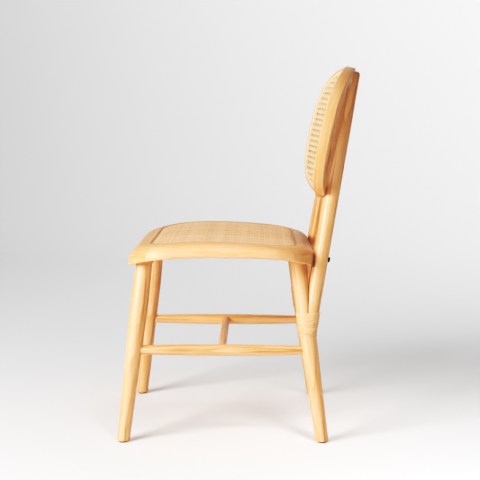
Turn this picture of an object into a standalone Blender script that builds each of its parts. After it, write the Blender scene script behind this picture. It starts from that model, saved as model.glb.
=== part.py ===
"""Dining chair of turned wood and rattan, in metres, facing -Y with +Z up.

Four raked legs and an H stretcher carry a bent seat rim with a woven panel.  Two round posts are scarfed to
the rear legs under a rattan binding, bolted to the rim, and carry a bent hoop with open cane webbing.
"""
import math

import bmesh
import bpy
import numpy as np
from mathutils import Matrix, Vector

# Fits
GAP = 0.0003
OVERRUN = 0.004

# Seat rim: a bent ring, crowned a little ahead of its middle and drooping to the front and the rear
SEAT_HEIGHT = 0.4520
SEAT_HALF_WIDTH = 0.243
SEAT_FRONT_REACH = 0.2160
SEAT_REAR_REACH = 0.2040
SEAT_CORNER_RADIUS = 0.108
SEAT_CROWN_Y = -0.040
RIM_THICKNESS = 0.0340
RIM_TOP_DROOP_FRONT = 0.0225
RIM_TOP_DROOP_REAR = 0.0200
RIM_UNDER_DROOP = 0.0275
LEG_PAD_DROOP = 0.0209
UNDER_DROOP_POWER = 4
UNDER_BREAK_SHARE = 0.35
RIM_EDGE_RADIUS = 0.003
RIM_JOINT_ARC_SHARE = 0.625

# Round-over of the rim's outer top edge: its width, and its depth as a share of the rim's thickness
FRONT_ROUND_WIDTH = 0.0360
FRONT_ROUND_SHARE = 0.90
SIDE_ROUND_WIDTH = 0.0235
SIDE_ROUND_SHARE = 0.55
REAR_ROUND_WIDTH = 0.0300
REAR_ROUND_SHARE = 0.46
FRONT_BLEND_STATIONS = 1.5
END_UNDER_ROUND_SHARE = 0.08
SIDE_UNDER_ROUND_SHARE = 0.32
UNDER_ROUND_ASPECT = 0.75

# Woven seat panel, its groove and the reed that holds it
PANEL_SIDE_MARGIN = 0.030
PANEL_FRONT_MARGIN = 0.054
PANEL_REAR_MARGIN = 0.043
PANEL_CORNER_RADIUS = 0.065
LIP_WIDTH = 0.016
GROOVE_WIDTH = 0.0062
GROOVE_DEPTH = 0.0050
REED_WIDTH = 0.0046
REED_PROUD = 0.0010
CANE_THICKNESS = 0.0014
SHEET_RING_SHARES = (1, 0.67, 0.33)

# Legs: foot, fullest and top radius, and the height of the fullest place
LEG_SIDE_INSET = 0.088
LEG_FRONT_INSET = 0.038
LEG_REAR_INSET = 0.0360
FRONT_SPLAY = 0.056
REAR_SPLAY = 0.050
FRONT_RAKE = 0.045
REAR_RAKE = 0.055
FRONT_LEG_RADII = (0.0142, 0.0203, 0.0184)
FRONT_LEG_FULL_HEIGHT = 0.300
REAR_LEG_RADII = (0.0148, 0.0189, 0.0188)
REAR_LEG_FULL_HEIGHT = 0.210
LEG_PAD_RADIUS = 0.0215
LEG_PAD_REACH_SHARE = 0.3
LEG_TENON_RADIUS = 0.0110
LEG_TENON_LENGTH = 0.022

# Foot glides: a disc with a nail
GLIDE_RADIUS = 0.0100
GLIDE_THICKNESS = 0.0027
GLIDE_EDGE = 0.0008
GLIDE_NAIL_RADIUS = 0.0013
GLIDE_NAIL_LENGTH = 0.012

# Stretchers: end and middle radius, and how each end is let in: housing depth, tenon radius, tenon length
STRETCHER_BELOW_SHOULDER = 0.0375
SWELL_SHARES = (-1, -0.7, -0.35, 0, 0.35, 0.7, 1)
SIDE_STRETCHER_RADII = (0.0101, 0.0130)
SIDE_STRETCHER_JOINT = (0.0050, 0.0070, 0.0100)
CROSS_STRETCHER_RADII = (0.0089, 0.0093)
CROSS_STRETCHER_JOINT = (0.0045, 0.0055, 0.0060)

# Back posts and their scarf on the rear legs
POST_RADIUS = 0.0181
POST_TOE_IN = 0.130
POST_RIM_LET_IN = 0.0058
POST_TIP_ABOVE_SCREW = 0.0085
POST_TIP_ROUNDING = 0.0090
SHOULDER_BELOW_LEG_TOP = 0.1566

# Rattan binding round each scarf
BINDING_HEIGHT = 0.0545
BINDING_BELOW_SHOULDER = 0.0050
BINDING_PITCH = 0.0050
BINDING_WIDTH = 0.0044
BINDING_THICKNESS = 0.0016
LOOP_POINTS = 24
BINDING_SIDE_SHARES = ((1, 0), (0.6, 1), (-0.6, 1), (-1, 0), (-0.6, -1), (0.6, -1))

# Back hoop: a superellipse bent to a shallow curve across the sitter's back
HOOP_HALF_WIDTH = 0.228
HOOP_HALF_HEIGHT = 0.1535
HOOP_UPPER_POWER = 2.75
HOOP_LOWER_POWER = 3.3
HOOP_CENTRE_ABOVE_SEAT = 0.2370
HOOP_LEAN = 0.212
HOOP_BEND_RADIUS = 0.715
HOOP_DEPTH = 0.0240
HOOP_BAND_WIDTH = 0.0215
HOOP_EDGE_RADIUS = 0.0040
HOOP_LET_IN = 0.0052
HOOP_GROOVE_INSET = 0.0105

# Fasteners
BOLT_RISE_SHARE = 0.42
BOLT_RADIUS = 0.0030
BOLT_HEAD_RADIUS = 0.0058
BOLT_HEAD_HEIGHT = 0.0038
BOLT_HEAD_BEVEL = 0.0009
BOLT_SINK = 0.0010
INSERT_RADIUS = 0.0048
INSERT_LENGTH = 0.0130
INSERT_WALL = 0.0014
SCREW_RADIUS = 0.0021
SCREW_HEAD_RADIUS = 0.0042
SCREW_HEAD_HEIGHT = 0.0030
SCREW_HEAD_SINK = 0.0010
SCREW_TIP_RADIUS = 0.0007
SCREW_BITE = 0.0150
UPPER_SCREW_INSET = 0.0170
LOWER_SCREW_INSET = 0.0110
RIM_PEG_RADIUS = 0.0050
RIM_PEG_HALF_LENGTH = 0.0150

# Facets
LEG_SIDES = 20
ROD_SIDES = 16
SMALL_SIDES = 12
CORNER_STEPS = 8
HALF_END_STEPS = 2
SIDE_STEPS = 4
ROUND_OVER_STEPS = 6
UNDER_ROUND_STEPS = 4
TIP_STEPS = 3
HOOP_STEPS = 48
SEARCH_STEPS = 20
SMOOTH_ANGLE = math.radians(35)

# Colours, linear
HONEY_WOOD = (0.62, 0.33, 0.12, 1.0)
PALE_WOOD = (0.70, 0.42, 0.18, 1.0)
CANE = (0.78, 0.56, 0.30, 1.0)
REED = (0.66, 0.42, 0.19, 1.0)
RATTAN_PEEL = (0.70, 0.44, 0.20, 1.0)
DARK_STEEL = (0.03, 0.028, 0.026, 1.0)
ZINC = (0.55, 0.54, 0.50, 1.0)
DARK_RUBBER = (0.02, 0.018, 0.016, 1.0)

LEG_TOP = SEAT_HEIGHT - RIM_THICKNESS - LEG_PAD_DROOP
SHOULDER_HEIGHT = LEG_TOP - SHOULDER_BELOW_LEG_TOP
STRETCHER_HEIGHT = SHOULDER_HEIGHT - STRETCHER_BELOW_SHOULDER
HOOP_CENTRE_HEIGHT = SEAT_HEIGHT + HOOP_CENTRE_ABOVE_SEAT
LIP_STEP = CANE_THICKNESS + 2 * GAP
SIDES = (("left", 1), ("right", -1))


# Scene, materials and mesh helpers

def clear_scene():
    """Remove every object, so that the chair starts from nothing."""
    for obj in list(bpy.data.objects):
        bpy.data.objects.remove(obj, do_unlink=True)


def material(name, colour, roughness, metallic=0.0):
    """Return the named Principled material, making it once."""
    found = bpy.data.materials.get(name)
    if found:
        return found
    made = bpy.data.materials.new(name)
    made.use_nodes = True
    shader = made.node_tree.nodes["Principled BSDF"]
    shader.inputs["Base Color"].default_value = colour
    shader.inputs["Roughness"].default_value = roughness
    shader.inputs["Metallic"].default_value = metallic
    return made


def honey_wood():
    """Varnished turned wood of the legs, posts and stretchers."""
    return material("honey_wood", HONEY_WOOD, 0.35)


def pale_wood():
    """Varnished bent wood of the rim and the hoop."""
    return material("pale_wood", PALE_WOOD, 0.38)


def cane():
    """Natural cane webbing."""
    return material("cane", CANE, 0.5)


def reed():
    """Round reed that fills the grooves."""
    return material("reed", REED, 0.5)


def dark_steel():
    """Blackened steel of the bolts."""
    return material("dark_steel", DARK_STEEL, 0.4, 1.0)


def zinc():
    """Bright plated screws and inserts."""
    return material("zinc", ZINC, 0.35, 1.0)


def new_object(name, bm, look, parent=None, place=None):
    """Turn a bmesh into a smooth-shaded object with outward faces."""
    bmesh.ops.recalc_face_normals(bm, faces=bm.faces)
    mesh = bpy.data.meshes.new(name)
    bm.to_mesh(mesh)
    bm.free()
    mesh.shade_smooth()
    mesh.set_sharp_from_angle(angle=SMOOTH_ANGLE)
    obj = bpy.data.objects.new(name, mesh)
    bpy.context.scene.collection.objects.link(obj)
    if look:
        mesh.materials.append(look)
    if parent:
        obj.parent = parent
    if place:
        obj.matrix_local = place
    return obj


def loft(bm, rings, closed=False):
    """Join rings of equally many points with quads; an open loft gets a cap at each end."""
    loops = [[bm.verts.new(point) for point in ring] for ring in rings]
    count = len(loops[0])
    pairs = list(zip(loops, loops[1:]))
    if closed:
        pairs.append((loops[-1], loops[0]))
    for first, second in pairs:
        for i in range(count):
            j = (i + 1) % count
            bm.faces.new((first[i], first[j], second[j], second[i]))
    if not closed:
        bm.faces.new(loops[0])
        bm.faces.new(loops[-1])


def circle(centre, radius, sides):
    """Horizontal ring of points round a centre."""
    x, y, z = centre
    turns = [2 * math.pi * i / sides for i in range(sides)]
    return [(x + radius * math.cos(t), y + radius * math.sin(t), z) for t in turns]


def turned(name, profile, sides, look, parent, place):
    """Solid of revolution about local Z from (height, radius) pairs."""
    bm = bmesh.new()
    loft(bm, [circle((0, 0, height), radius, sides) for height, radius in profile])
    return new_object(name, bm, look, parent, place)


def leaning(name, axis, profile, sides, look, parent):
    """Stack of level rings along a leaning axis from (height, radius) pairs."""
    bm = bmesh.new()
    loft(bm, [circle(axis(height), radius, sides) for height, radius in profile])
    return new_object(name, bm, look, parent)


def along(start, end):
    """Placement whose local Z runs from start to end."""
    direction = (Vector(end) - Vector(start)).normalized()
    return Matrix.Translation(Vector(start)) @ direction.to_track_quat("Z", "Y").to_matrix().to_4x4()


def cylinder_cutter(start, end, radius, sides=SMALL_SIDES):
    """Cylinder between two points, used as a cutter or a boss."""
    length = (Vector(end) - Vector(start)).length
    return turned("cutter", ((0, radius), (length, radius)), sides, None, None, along(start, end))


def box_cutter(low, high):
    """Box between two corners, used as a cutter."""
    bm = bmesh.new()
    bmesh.ops.create_cube(bm, size=1)
    size = Vector(high) - Vector(low)
    middle = (Vector(high) + Vector(low)) / 2
    bmesh.ops.scale(bm, vec=size, verts=bm.verts)
    bmesh.ops.translate(bm, vec=middle, verts=bm.verts)
    return new_object("cutter", bm, None)


def combine(target, tool, operation):
    """Apply one Boolean to the target and remove the tool."""
    tool.hide_render = True
    tool.display_type = "WIRE"
    change = target.modifiers.new(operation.lower(), "BOOLEAN")
    change.operation = operation
    change.object = tool
    bpy.context.view_layer.update()
    shaped = target.evaluated_get(bpy.context.evaluated_depsgraph_get())
    mesh = bpy.data.meshes.new_from_object(shaped)
    mesh.name = target.name
    target.modifiers.remove(change)
    target.data = mesh
    bpy.data.objects.remove(tool, do_unlink=True)


def cut(target, *tools):
    """Take each tool away from the target."""
    for tool in tools:
        combine(target, tool, "DIFFERENCE")


def join(target, *tools):
    """Add each tool to the target as one body."""
    for tool in tools:
        combine(target, tool, "UNION")


# Axes of the leaning members

def mix(first, second, share):
    """Point or number at a share of the way from first to second."""
    return first + (second - first) * share


def eased(share):
    """Share between 0 and 1 with a soft start and a soft end."""
    share = min(max(share, 0), 1)
    return share * share * (3 - 2 * share)


def leg_axis(front, side):
    """Function of height that gives the centre of a leg."""
    if front:
        top = (SEAT_HALF_WIDTH - LEG_SIDE_INSET, LEG_FRONT_INSET - SEAT_FRONT_REACH)
        splay, rake = FRONT_SPLAY, -FRONT_RAKE
    else:
        top = (SEAT_HALF_WIDTH - LEG_SIDE_INSET, SEAT_REAR_REACH - LEG_REAR_INSET)
        splay, rake = REAR_SPLAY, REAR_RAKE

    def centre(height):
        down = 1 - height / LEG_TOP
        return (side * (top[0] + splay * down), top[1] + rake * down, height)
    return centre


def leg_radius(front, height):
    """Radius of a leg at a height: straight tapers from its fullest place."""
    foot, full, top = FRONT_LEG_RADII if front else REAR_LEG_RADII
    full_height = FRONT_LEG_FULL_HEIGHT if front else REAR_LEG_FULL_HEIGHT
    if height < full_height:
        return mix(foot, full, height / full_height)
    return mix(full, top, (height - full_height) / (LEG_TOP - full_height))


def scarf_plane():
    """Y of the upright plane where a post lies against its leg."""
    return leg_axis(False, 1)(SHOULDER_HEIGHT)[1]


def post_axis(side):
    """Function of height that gives the centre of a post: from the scarf's shoulder past the rim's rear."""
    base = leg_axis(False, side)(SHOULDER_HEIGHT)
    at_rim = SEAT_REAR_REACH + POST_RADIUS - POST_RIM_LET_IN
    lean = (at_rim - base[1]) / (LEG_TOP - SHOULDER_HEIGHT)

    def centre(height):
        rise = height - SHOULDER_HEIGHT
        return (base[0] - side * POST_TOE_IN * rise, base[1] + lean * rise, height)
    return centre


# Seat outline and rim

def outline_point(half_width, front, rear, radius, station):
    """Point of a rounded rectangle; stations 0 to 5 run from the front's middle to the rear's middle.

    The parts are half the front, a corner, the side, a corner and half the rear, and stations 5 to 10
    are the mirror image on the way back.
    """
    side = 1
    if station > 5:
        station = 10 - station
        side = -1
    part = min(int(station), 4)
    share = station - part
    reach = half_width - radius
    if part == 0:
        x, y = reach * share, -front
    elif part == 1:
        turn = math.pi / 2 * (share - 1)
        x, y = reach + radius * math.cos(turn), radius - front + radius * math.sin(turn)
    elif part == 2:
        x, y = half_width, mix(radius - front, rear - radius, share)
    elif part == 3:
        turn = math.pi / 2 * share
        x, y = reach + radius * math.cos(turn), rear - radius + radius * math.sin(turn)
    else:
        x, y = reach * (1 - share), rear
    return Vector((side * x, y))


def rim_outer(station):
    """Outer outline of the rim."""
    return outline_point(SEAT_HALF_WIDTH, SEAT_FRONT_REACH, SEAT_REAR_REACH, SEAT_CORNER_RADIUS, station)


def groove_line(station):
    """Middle line of the groove, where the woven panel ends."""
    return outline_point(SEAT_HALF_WIDTH - PANEL_SIDE_MARGIN, SEAT_FRONT_REACH - PANEL_FRONT_MARGIN,
                         SEAT_REAR_REACH - PANEL_REAR_MARGIN, PANEL_CORNER_RADIUS, station)


def rim_top(y):
    """Height of the rim's top face: it falls with the square of the distance from the crown."""
    if y < SEAT_CROWN_Y:
        share = (y - SEAT_CROWN_Y) / (SEAT_FRONT_REACH + SEAT_CROWN_Y)
        return SEAT_HEIGHT - RIM_TOP_DROOP_FRONT * share * share
    share = (y - SEAT_CROWN_Y) / (SEAT_REAR_REACH - SEAT_CROWN_Y)
    return SEAT_HEIGHT - RIM_TOP_DROOP_REAR * share * share


def rim_under(y):
    """Height of the rim's under face: nearly flat, then falling near the legs."""
    reach = SEAT_FRONT_REACH if y < 0 else SEAT_REAR_REACH
    return SEAT_HEIGHT - RIM_THICKNESS - RIM_UNDER_DROOP * min(abs(y) / reach, 1) ** UNDER_DROOP_POWER


def sideness(station):
    """How far the rim's section has turned from an end's into a side's: 0 at the ends, 1 on the sides."""
    along_half = 10 - station if station > 5 else station
    if along_half <= 3:
        return eased((along_half - 1) / FRONT_BLEND_STATIONS)
    return eased(4 - along_half)


def round_over(station):
    """Width and thickness share of the upper edge's round-over, blended round the corners."""
    if min(station, 10 - station) <= 3:
        width, share = FRONT_ROUND_WIDTH, FRONT_ROUND_SHARE
    else:
        width, share = REAR_ROUND_WIDTH, REAR_ROUND_SHARE
    blend = sideness(station)
    return mix(width, SIDE_ROUND_WIDTH, blend), mix(share, SIDE_ROUND_SHARE, blend)


def under_round(station):
    """Width and thickness share of the lower edge's rounding, blended round the corners."""
    share = mix(END_UNDER_ROUND_SHARE, SIDE_UNDER_ROUND_SHARE, sideness(station))
    return share * RIM_THICKNESS * UNDER_ROUND_ASPECT, share


def rim_section(station, shift=0.0):
    """Closed section of the rim across a station, moved along the rim by shift."""
    outer = rim_outer(station)
    inward = groove_line(station) - outer
    to_groove = inward.length
    inward.normalize()
    onward = Vector((inward.y, -inward.x))
    width = to_groove + LIP_WIDTH
    edge = RIM_EDGE_RADIUS
    half_groove = GROOVE_WIDTH / 2
    over_width, over_share = round_over(station)
    under_width, under_share = under_round(station)

    def point(distance, height):
        """Point at a distance in from the outer face; height is a function of its top and under faces."""
        place = outer + inward * distance + onward * shift
        return (place.x, place.y, height(rim_top(place.y), rim_under(place.y)))

    section = []
    for step in range(UNDER_ROUND_STEPS):
        turn = math.pi / 2 * step / (UNDER_ROUND_STEPS - 1)
        rise = under_share * (1 - math.cos(turn))
        section.append(point(under_width * (1 - math.sin(turn)),
                             lambda top, under, rise=rise: under + (top - under) * rise))
    for step in range(ROUND_OVER_STEPS):
        turn = math.pi / 2 * step / (ROUND_OVER_STEPS - 1)
        sink = over_share * (1 - math.sin(turn))
        section.append(point(over_width * (1 - math.cos(turn)),
                             lambda top, under, sink=sink: top - (top - under) * sink))
    section += [
        point(to_groove - half_groove, lambda top, under: top),
        point(to_groove - half_groove, lambda top, under: top - GROOVE_DEPTH),
        point(to_groove + half_groove, lambda top, under: top - GROOVE_DEPTH),
        point(to_groove + half_groove, lambda top, under: top - LIP_STEP),
        point(width - edge, lambda top, under: top - LIP_STEP),
        point(width, lambda top, under: top - LIP_STEP - edge),
        point(width, lambda top, under: under + edge),
        point(width - edge, lambda top, under: under),
        point(width * UNDER_BREAK_SHARE, lambda top, under: under)]
    return section


def seat_stations():
    """Every station of the seat's outlines, the joints among them."""
    half = (HALF_END_STEPS, CORNER_STEPS, SIDE_STEPS, CORNER_STEPS, HALF_END_STEPS)
    stations = []
    for part, steps in enumerate(half + half[::-1]):
        stations += [part + step / steps for step in range(steps)]
    return stations


def rim_joints():
    """Stations of the rim's joints: the middle of the front and one in each corner."""
    front = 1 + RIM_JOINT_ARC_SHARE
    rear = 4 - RIM_JOINT_ARC_SHARE
    return (0, front, rear, 10 - rear, 10 - front, 10)


def rim_segment(name, first, last, parent):
    """One bent piece of the rim between two joints."""
    inside = [station for station in seat_stations() if first < station < last]
    rings = [rim_section(first, GAP / 2)]
    rings += [rim_section(station) for station in inside]
    rings.append(rim_section(last, -GAP / 2))
    bm = bmesh.new()
    loft(bm, rings)
    return new_object(name, bm, pale_wood(), parent)


def rim_peg_ends(station):
    """Ends of the loose peg across a joint of the rim."""
    outer = rim_outer(station)
    inward = (groove_line(station) - outer).normalized()
    onward = Vector((inward.y, -inward.x))
    middle = outer + inward * (SIDE_ROUND_WIDTH + RIM_PEG_RADIUS)
    height = (rim_under(middle.y) + rim_top(middle.y)) / 2
    reach = onward * RIM_PEG_HALF_LENGTH
    return (*(middle - reach), height), (*(middle + reach), height)


def make_rim(parent):
    """Rim of five bent pieces with pads for the legs, joined by loose pegs."""
    joints = rim_joints()
    names = ("seat_rim_front_left", "seat_rim_side_left", "seat_rim_rear", "seat_rim_side_right",
             "seat_rim_front_right")
    pieces = {}
    for name, first, last in zip(names, joints, joints[1:]):
        pieces[name] = rim_segment(name, first, last, parent)
    for side_name, side in SIDES:
        for front, name in ((True, f"seat_rim_front_{side_name}"), (False, "seat_rim_rear")):
            add_leg_pad(pieces[name], leg_axis(front, side))
    peg_names = ("front_middle", "front_left", "rear_left", "rear_right", "front_right")
    for index, name in enumerate(peg_names):
        start, end = rim_peg_ends(joints[index])
        length = (Vector(end) - Vector(start)).length
        before, after = names[index - 1], names[index]
        for piece in (before, after):
            hole = cylinder_cutter(mix(Vector(start), Vector(end), -GAP / length),
                                   mix(Vector(start), Vector(end), 1 + GAP / length), RIM_PEG_RADIUS + GAP)
            cut(pieces[piece], hole)
        turned(f"seat_rim_peg_{name}", ((0, RIM_PEG_RADIUS), (length, RIM_PEG_RADIUS)), SMALL_SIDES,
               honey_wood(), parent, along(start, end))
    return pieces


def add_leg_pad(piece, axis):
    """Flat pad under the rim with the socket for a leg's tenon."""
    centre = axis(LEG_TOP)
    inside = mix(rim_under(centre[1]), rim_top(centre[1]), LEG_PAD_REACH_SHARE)
    pad = cylinder_cutter(centre, (centre[0], centre[1], inside), LEG_PAD_RADIUS, LEG_SIDES)
    join(piece, pad)
    bm = bmesh.new()
    low, high = LEG_TOP - OVERRUN, LEG_TOP + LEG_TENON_LENGTH + GAP
    loft(bm, [circle(axis(height), LEG_TENON_RADIUS + GAP, ROD_SIDES) for height in (low, high)])
    cut(piece, new_object("cutter", bm, None))


def sheet(name, layers, centres, look, parent, place=None):
    """Closed thin sheet from the rings of its under and upper layer and the middle point of each."""
    bm = bmesh.new()
    edges = []
    for rings, centre in zip(layers, centres):
        loops = [[bm.verts.new(point) for point in ring] for ring in rings]
        middle = bm.verts.new(centre)
        count = len(loops[0])
        for i in range(count):
            j = (i + 1) % count
            for outer, inner in zip(loops, loops[1:]):
                bm.faces.new((outer[i], outer[j], inner[j], inner[i]))
            bm.faces.new((loops[-1][i], loops[-1][j], middle))
        edges.append(loops[0])
    low, high = edges
    for i in range(len(low)):
        j = (i + 1) % len(low)
        bm.faces.new((low[i], low[j], high[j], high[i]))
    return new_object(name, bm, look, parent, place)


def make_panel(parent):
    """Thin woven sheet that lies on the rim's lip inside the groove."""
    insets = [(GROOVE_WIDTH / 2 + GAP, 1)] + [(LIP_WIDTH, share) for share in SHEET_RING_SHARES]
    layers, centres = [], []
    for lift in (GAP - LIP_STEP, GAP - LIP_STEP + CANE_THICKNESS):
        rings = []
        for inset, share in insets:
            ring = []
            for station in seat_stations():
                line = groove_line(station)
                inward = (line - rim_outer(station)).normalized()
                place = (line + inward * inset) * share
                ring.append((place.x, place.y, rim_top(place.y) + lift))
            rings.append(ring)
        layers.append(rings)
        centres.append((0, 0, rim_top(0) + lift))
    sheet("seat_cane", layers, centres, cane(), parent)


def reed_shape():
    """Hexagonal section of a groove reed: flat below, domed and a little proud above."""
    half = REED_WIDTH / 2
    low = GAP - GROOVE_DEPTH
    return ((half, low), (half, 0), (half / 2, REED_PROUD), (-half / 2, REED_PROUD), (-half, 0), (-half, low))


def make_seat_reed(parent):
    """Reed pressed into the seat's groove."""
    rings = []
    for station in seat_stations():
        line = groove_line(station)
        inward = (line - rim_outer(station)).normalized()
        ring = []
        for across, height in reed_shape():
            place = line + inward * across
            ring.append((place.x, place.y, rim_top(place.y) + height))
        rings.append(ring)
    bm = bmesh.new()
    loft(bm, rings, closed=True)
    new_object("seat_reed", bm, reed(), parent)


# Legs, glides and stretchers

def make_leg(name, front, side, parent):
    """Leaning turned leg with a round tenon on top and a level foot above its glide."""
    axis = leg_axis(front, side)
    foot = GLIDE_THICKNESS + GAP
    full_height = FRONT_LEG_FULL_HEIGHT if front else REAR_LEG_FULL_HEIGHT
    shoulder = LEG_TOP - GAP
    heights = [foot, (foot + full_height) / 2, full_height, shoulder]
    profile = [(height, leg_radius(front, height)) for height in heights]
    profile += [(shoulder, LEG_TENON_RADIUS), (LEG_TOP + LEG_TENON_LENGTH, LEG_TENON_RADIUS)]
    leg = leaning(name, axis, profile, LEG_SIDES, honey_wood(), parent)
    nail_top = GLIDE_THICKNESS + GLIDE_NAIL_LENGTH + GAP
    base = Vector(axis(0))
    cut(leg, cylinder_cutter(base, base + Vector((0, 0, nail_top)), GLIDE_NAIL_RADIUS + GAP))
    return leg


def make_glide(name, front, side, parent):
    """Nail-on glide under a foot."""
    profile = ((0, GLIDE_RADIUS - GLIDE_EDGE), (GLIDE_EDGE, GLIDE_RADIUS), (GLIDE_THICKNESS, GLIDE_RADIUS),
               (GLIDE_THICKNESS, GLIDE_NAIL_RADIUS), (GLIDE_THICKNESS + GLIDE_NAIL_LENGTH, GLIDE_NAIL_RADIUS))
    place = Matrix.Translation(Vector(leg_axis(front, side)(0)))
    turned(name, profile, SMALL_SIDES, material("dark_glide", DARK_RUBBER, 0.6), parent, place)


def side_stretcher_ends(side):
    """Tips of a side stretcher's tenons in the two legs."""
    front = Vector(leg_axis(True, side)(STRETCHER_HEIGHT))
    rear = Vector(leg_axis(False, side)(STRETCHER_HEIGHT))
    direction = (rear - front).normalized()
    depth = SIDE_STRETCHER_JOINT[0] + SIDE_STRETCHER_JOINT[2]
    start = front + direction * (leg_radius(True, STRETCHER_HEIGHT) - depth)
    end = rear - direction * (leg_radius(False, STRETCHER_HEIGHT) - depth)
    return start, end


def cross_stretcher_ends():
    """Tips of the cross stretcher's tenons in the middles of the side stretchers."""
    depth = CROSS_STRETCHER_JOINT[0] + CROSS_STRETCHER_JOINT[2]
    ends = []
    for _, side in SIDES:
        start, end = side_stretcher_ends(side)
        middle = (start + end) / 2
        middle.x -= side * (SIDE_STRETCHER_RADII[1] - depth)
        ends.append(middle)
    return ends


def stretcher(name, start, end, radii, joint, parent):
    """Rod between two points with a tenon and a straight end at each side of a swelling middle."""
    end_radius, middle_radius = radii
    housing, tenon_radius, tenon_length = joint
    length = (end - start).length
    swell = length / 2 - tenon_length - housing
    profile = [(0, tenon_radius), (tenon_length, tenon_radius), (tenon_length, end_radius)]
    for share in SWELL_SHARES:
        radius = middle_radius - (middle_radius - end_radius) * share * share
        profile.append((length / 2 + swell * share, radius))
    profile += [(length - tenon_length, end_radius), (length - tenon_length, tenon_radius),
                (length, tenon_radius)]
    return turned(name, profile, ROD_SIDES, honey_wood(), parent, along(start, end))


def socket(tip, towards, radii, joint):
    """Cutter for the stepped hole of a rod's end, a gap deeper and wider than the rod."""
    housing, tenon_radius, tenon_length = joint
    mouth = tenon_length + housing + radii[1]
    profile = ((-GAP, tenon_radius + GAP), (tenon_length - GAP, tenon_radius + GAP),
               (tenon_length - GAP, radii[0] + GAP), (mouth, radii[0] + GAP))
    return turned("cutter", profile, ROD_SIDES, None, None, along(tip, towards))


def make_base(parent):
    """Legs, glides and the H stretcher."""
    legs = {}
    for side_name, side in SIDES:
        start, end = side_stretcher_ends(side)
        for front, place, own, other in ((True, "front", start, end), (False, "rear", end, start)):
            name = f"{place}_leg_{side_name}"
            legs[name] = make_leg(name, front, side, parent)
            cut(legs[name], socket(own, other, SIDE_STRETCHER_RADII, SIDE_STRETCHER_JOINT))
            make_glide(f"foot_glide_{place}_{side_name}", front, side, parent)
    left, right = cross_stretcher_ends()
    for (side_name, side), own, other in zip(SIDES, (left, right), (right, left)):
        start, end = side_stretcher_ends(side)
        rod = stretcher(f"side_stretcher_{side_name}", start, end, SIDE_STRETCHER_RADII,
                        SIDE_STRETCHER_JOINT, parent)
        cut(rod, socket(own, other, CROSS_STRETCHER_RADII, CROSS_STRETCHER_JOINT))
    stretcher("cross_stretcher", left, right, CROSS_STRETCHER_RADII, CROSS_STRETCHER_JOINT, parent)
    return legs


# Back hoop

def hoop_outline(inset, turn):
    """In-plane point of the hoop's superellipse, moved inwards square to its outer edge."""
    across, up = math.cos(turn), math.sin(turn)
    power = 2 / (HOOP_UPPER_POWER if up > 0 else HOOP_LOWER_POWER)
    x = HOOP_HALF_WIDTH * math.copysign(abs(across) ** power, across)
    v = HOOP_HALF_HEIGHT * math.copysign(abs(up) ** power, up)
    slope_x = math.copysign(abs(across) ** (2 - power), across) / HOOP_HALF_WIDTH
    slope_v = math.copysign(abs(up) ** (2 - power), up) / HOOP_HALF_HEIGHT
    steep = math.hypot(slope_x, slope_v)
    return x - inset * slope_x / steep, v - inset * slope_v / steep


def hoop_bow(x):
    """How far the bent hoop comes forward at a distance from its middle."""
    return HOOP_BEND_RADIUS - math.sqrt(HOOP_BEND_RADIUS ** 2 - x * x)


def hoop_tilt():
    """Angle by which the hoop leans back from upright."""
    return math.atan(HOOP_LEAN)


def post_meets_hoop(upper):
    """Lateral place and height of a hoop screw, where a post crosses the hoop's band."""
    inset = UPPER_SCREW_INSET if upper else LOWER_SCREW_INSET
    power = HOOP_UPPER_POWER if upper else HOOP_LOWER_POWER
    way = 1 if upper else -1
    axis = post_axis(1)
    height = HOOP_CENTRE_HEIGHT
    for _ in range(SEARCH_STEPS):
        x = axis(height)[0]
        rest = 1 - (x / (HOOP_HALF_WIDTH - inset)) ** power
        v = (HOOP_HALF_HEIGHT - inset) * rest ** (1 / power)
        height = HOOP_CENTRE_HEIGHT + way * v * math.cos(hoop_tilt())
    return x, height


def hoop_centre():
    """Middle of the hoop's front face: its lower rail is let into the posts' fronts."""
    x, height = post_meets_hoop(upper=False)
    post_front = post_axis(1)(height)[1] - POST_RADIUS
    rear_depth = (HOOP_DEPTH - hoop_bow(x)) / math.cos(hoop_tilt())
    y = post_front + HOOP_LET_IN - rear_depth - HOOP_LEAN * (height - HOOP_CENTRE_HEIGHT)
    return Vector((0, y, HOOP_CENTRE_HEIGHT))


def hoop_place():
    """Placement of the hoop: local X across, Y rearward and Z up along its leaning plane."""
    return Matrix.Translation(hoop_centre()) @ Matrix.Rotation(-hoop_tilt(), 4, "X")


def hoop_ring(shape, turn):
    """Points of a section at one place of the hoop from (inset, depth) pairs."""
    points = []
    for inset, depth in shape:
        x, v = hoop_outline(inset, turn)
        points.append((x, depth - hoop_bow(x), v))
    return points


def hoop_section(turn):
    """Section of the hoop's band with its groove and lip on the front."""
    edge = HOOP_EDGE_RADIUS
    half_groove = GROOVE_WIDTH / 2
    soft = edge * (1 - math.sqrt(0.5))
    shape = ((0, edge), (soft, soft), (edge, 0), (HOOP_GROOVE_INSET - half_groove, 0),
             (HOOP_GROOVE_INSET - half_groove, GROOVE_DEPTH), (HOOP_GROOVE_INSET + half_groove, GROOVE_DEPTH),
             (HOOP_GROOVE_INSET + half_groove, LIP_STEP), (HOOP_BAND_WIDTH, LIP_STEP),
             (HOOP_BAND_WIDTH, HOOP_DEPTH), (edge, HOOP_DEPTH), (soft, HOOP_DEPTH - soft),
             (0, HOOP_DEPTH - edge))
    return hoop_ring(shape, turn)


def hoop_turns():
    """Angles of the hoop's stations."""
    return [2 * math.pi * step / HOOP_STEPS for step in range(HOOP_STEPS)]


def make_hoop(parent):
    """Bent band of the back."""
    bm = bmesh.new()
    loft(bm, [hoop_section(turn) for turn in hoop_turns()], closed=True)
    return new_object("back_hoop", bm, pale_wood(), parent, hoop_place())


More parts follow.
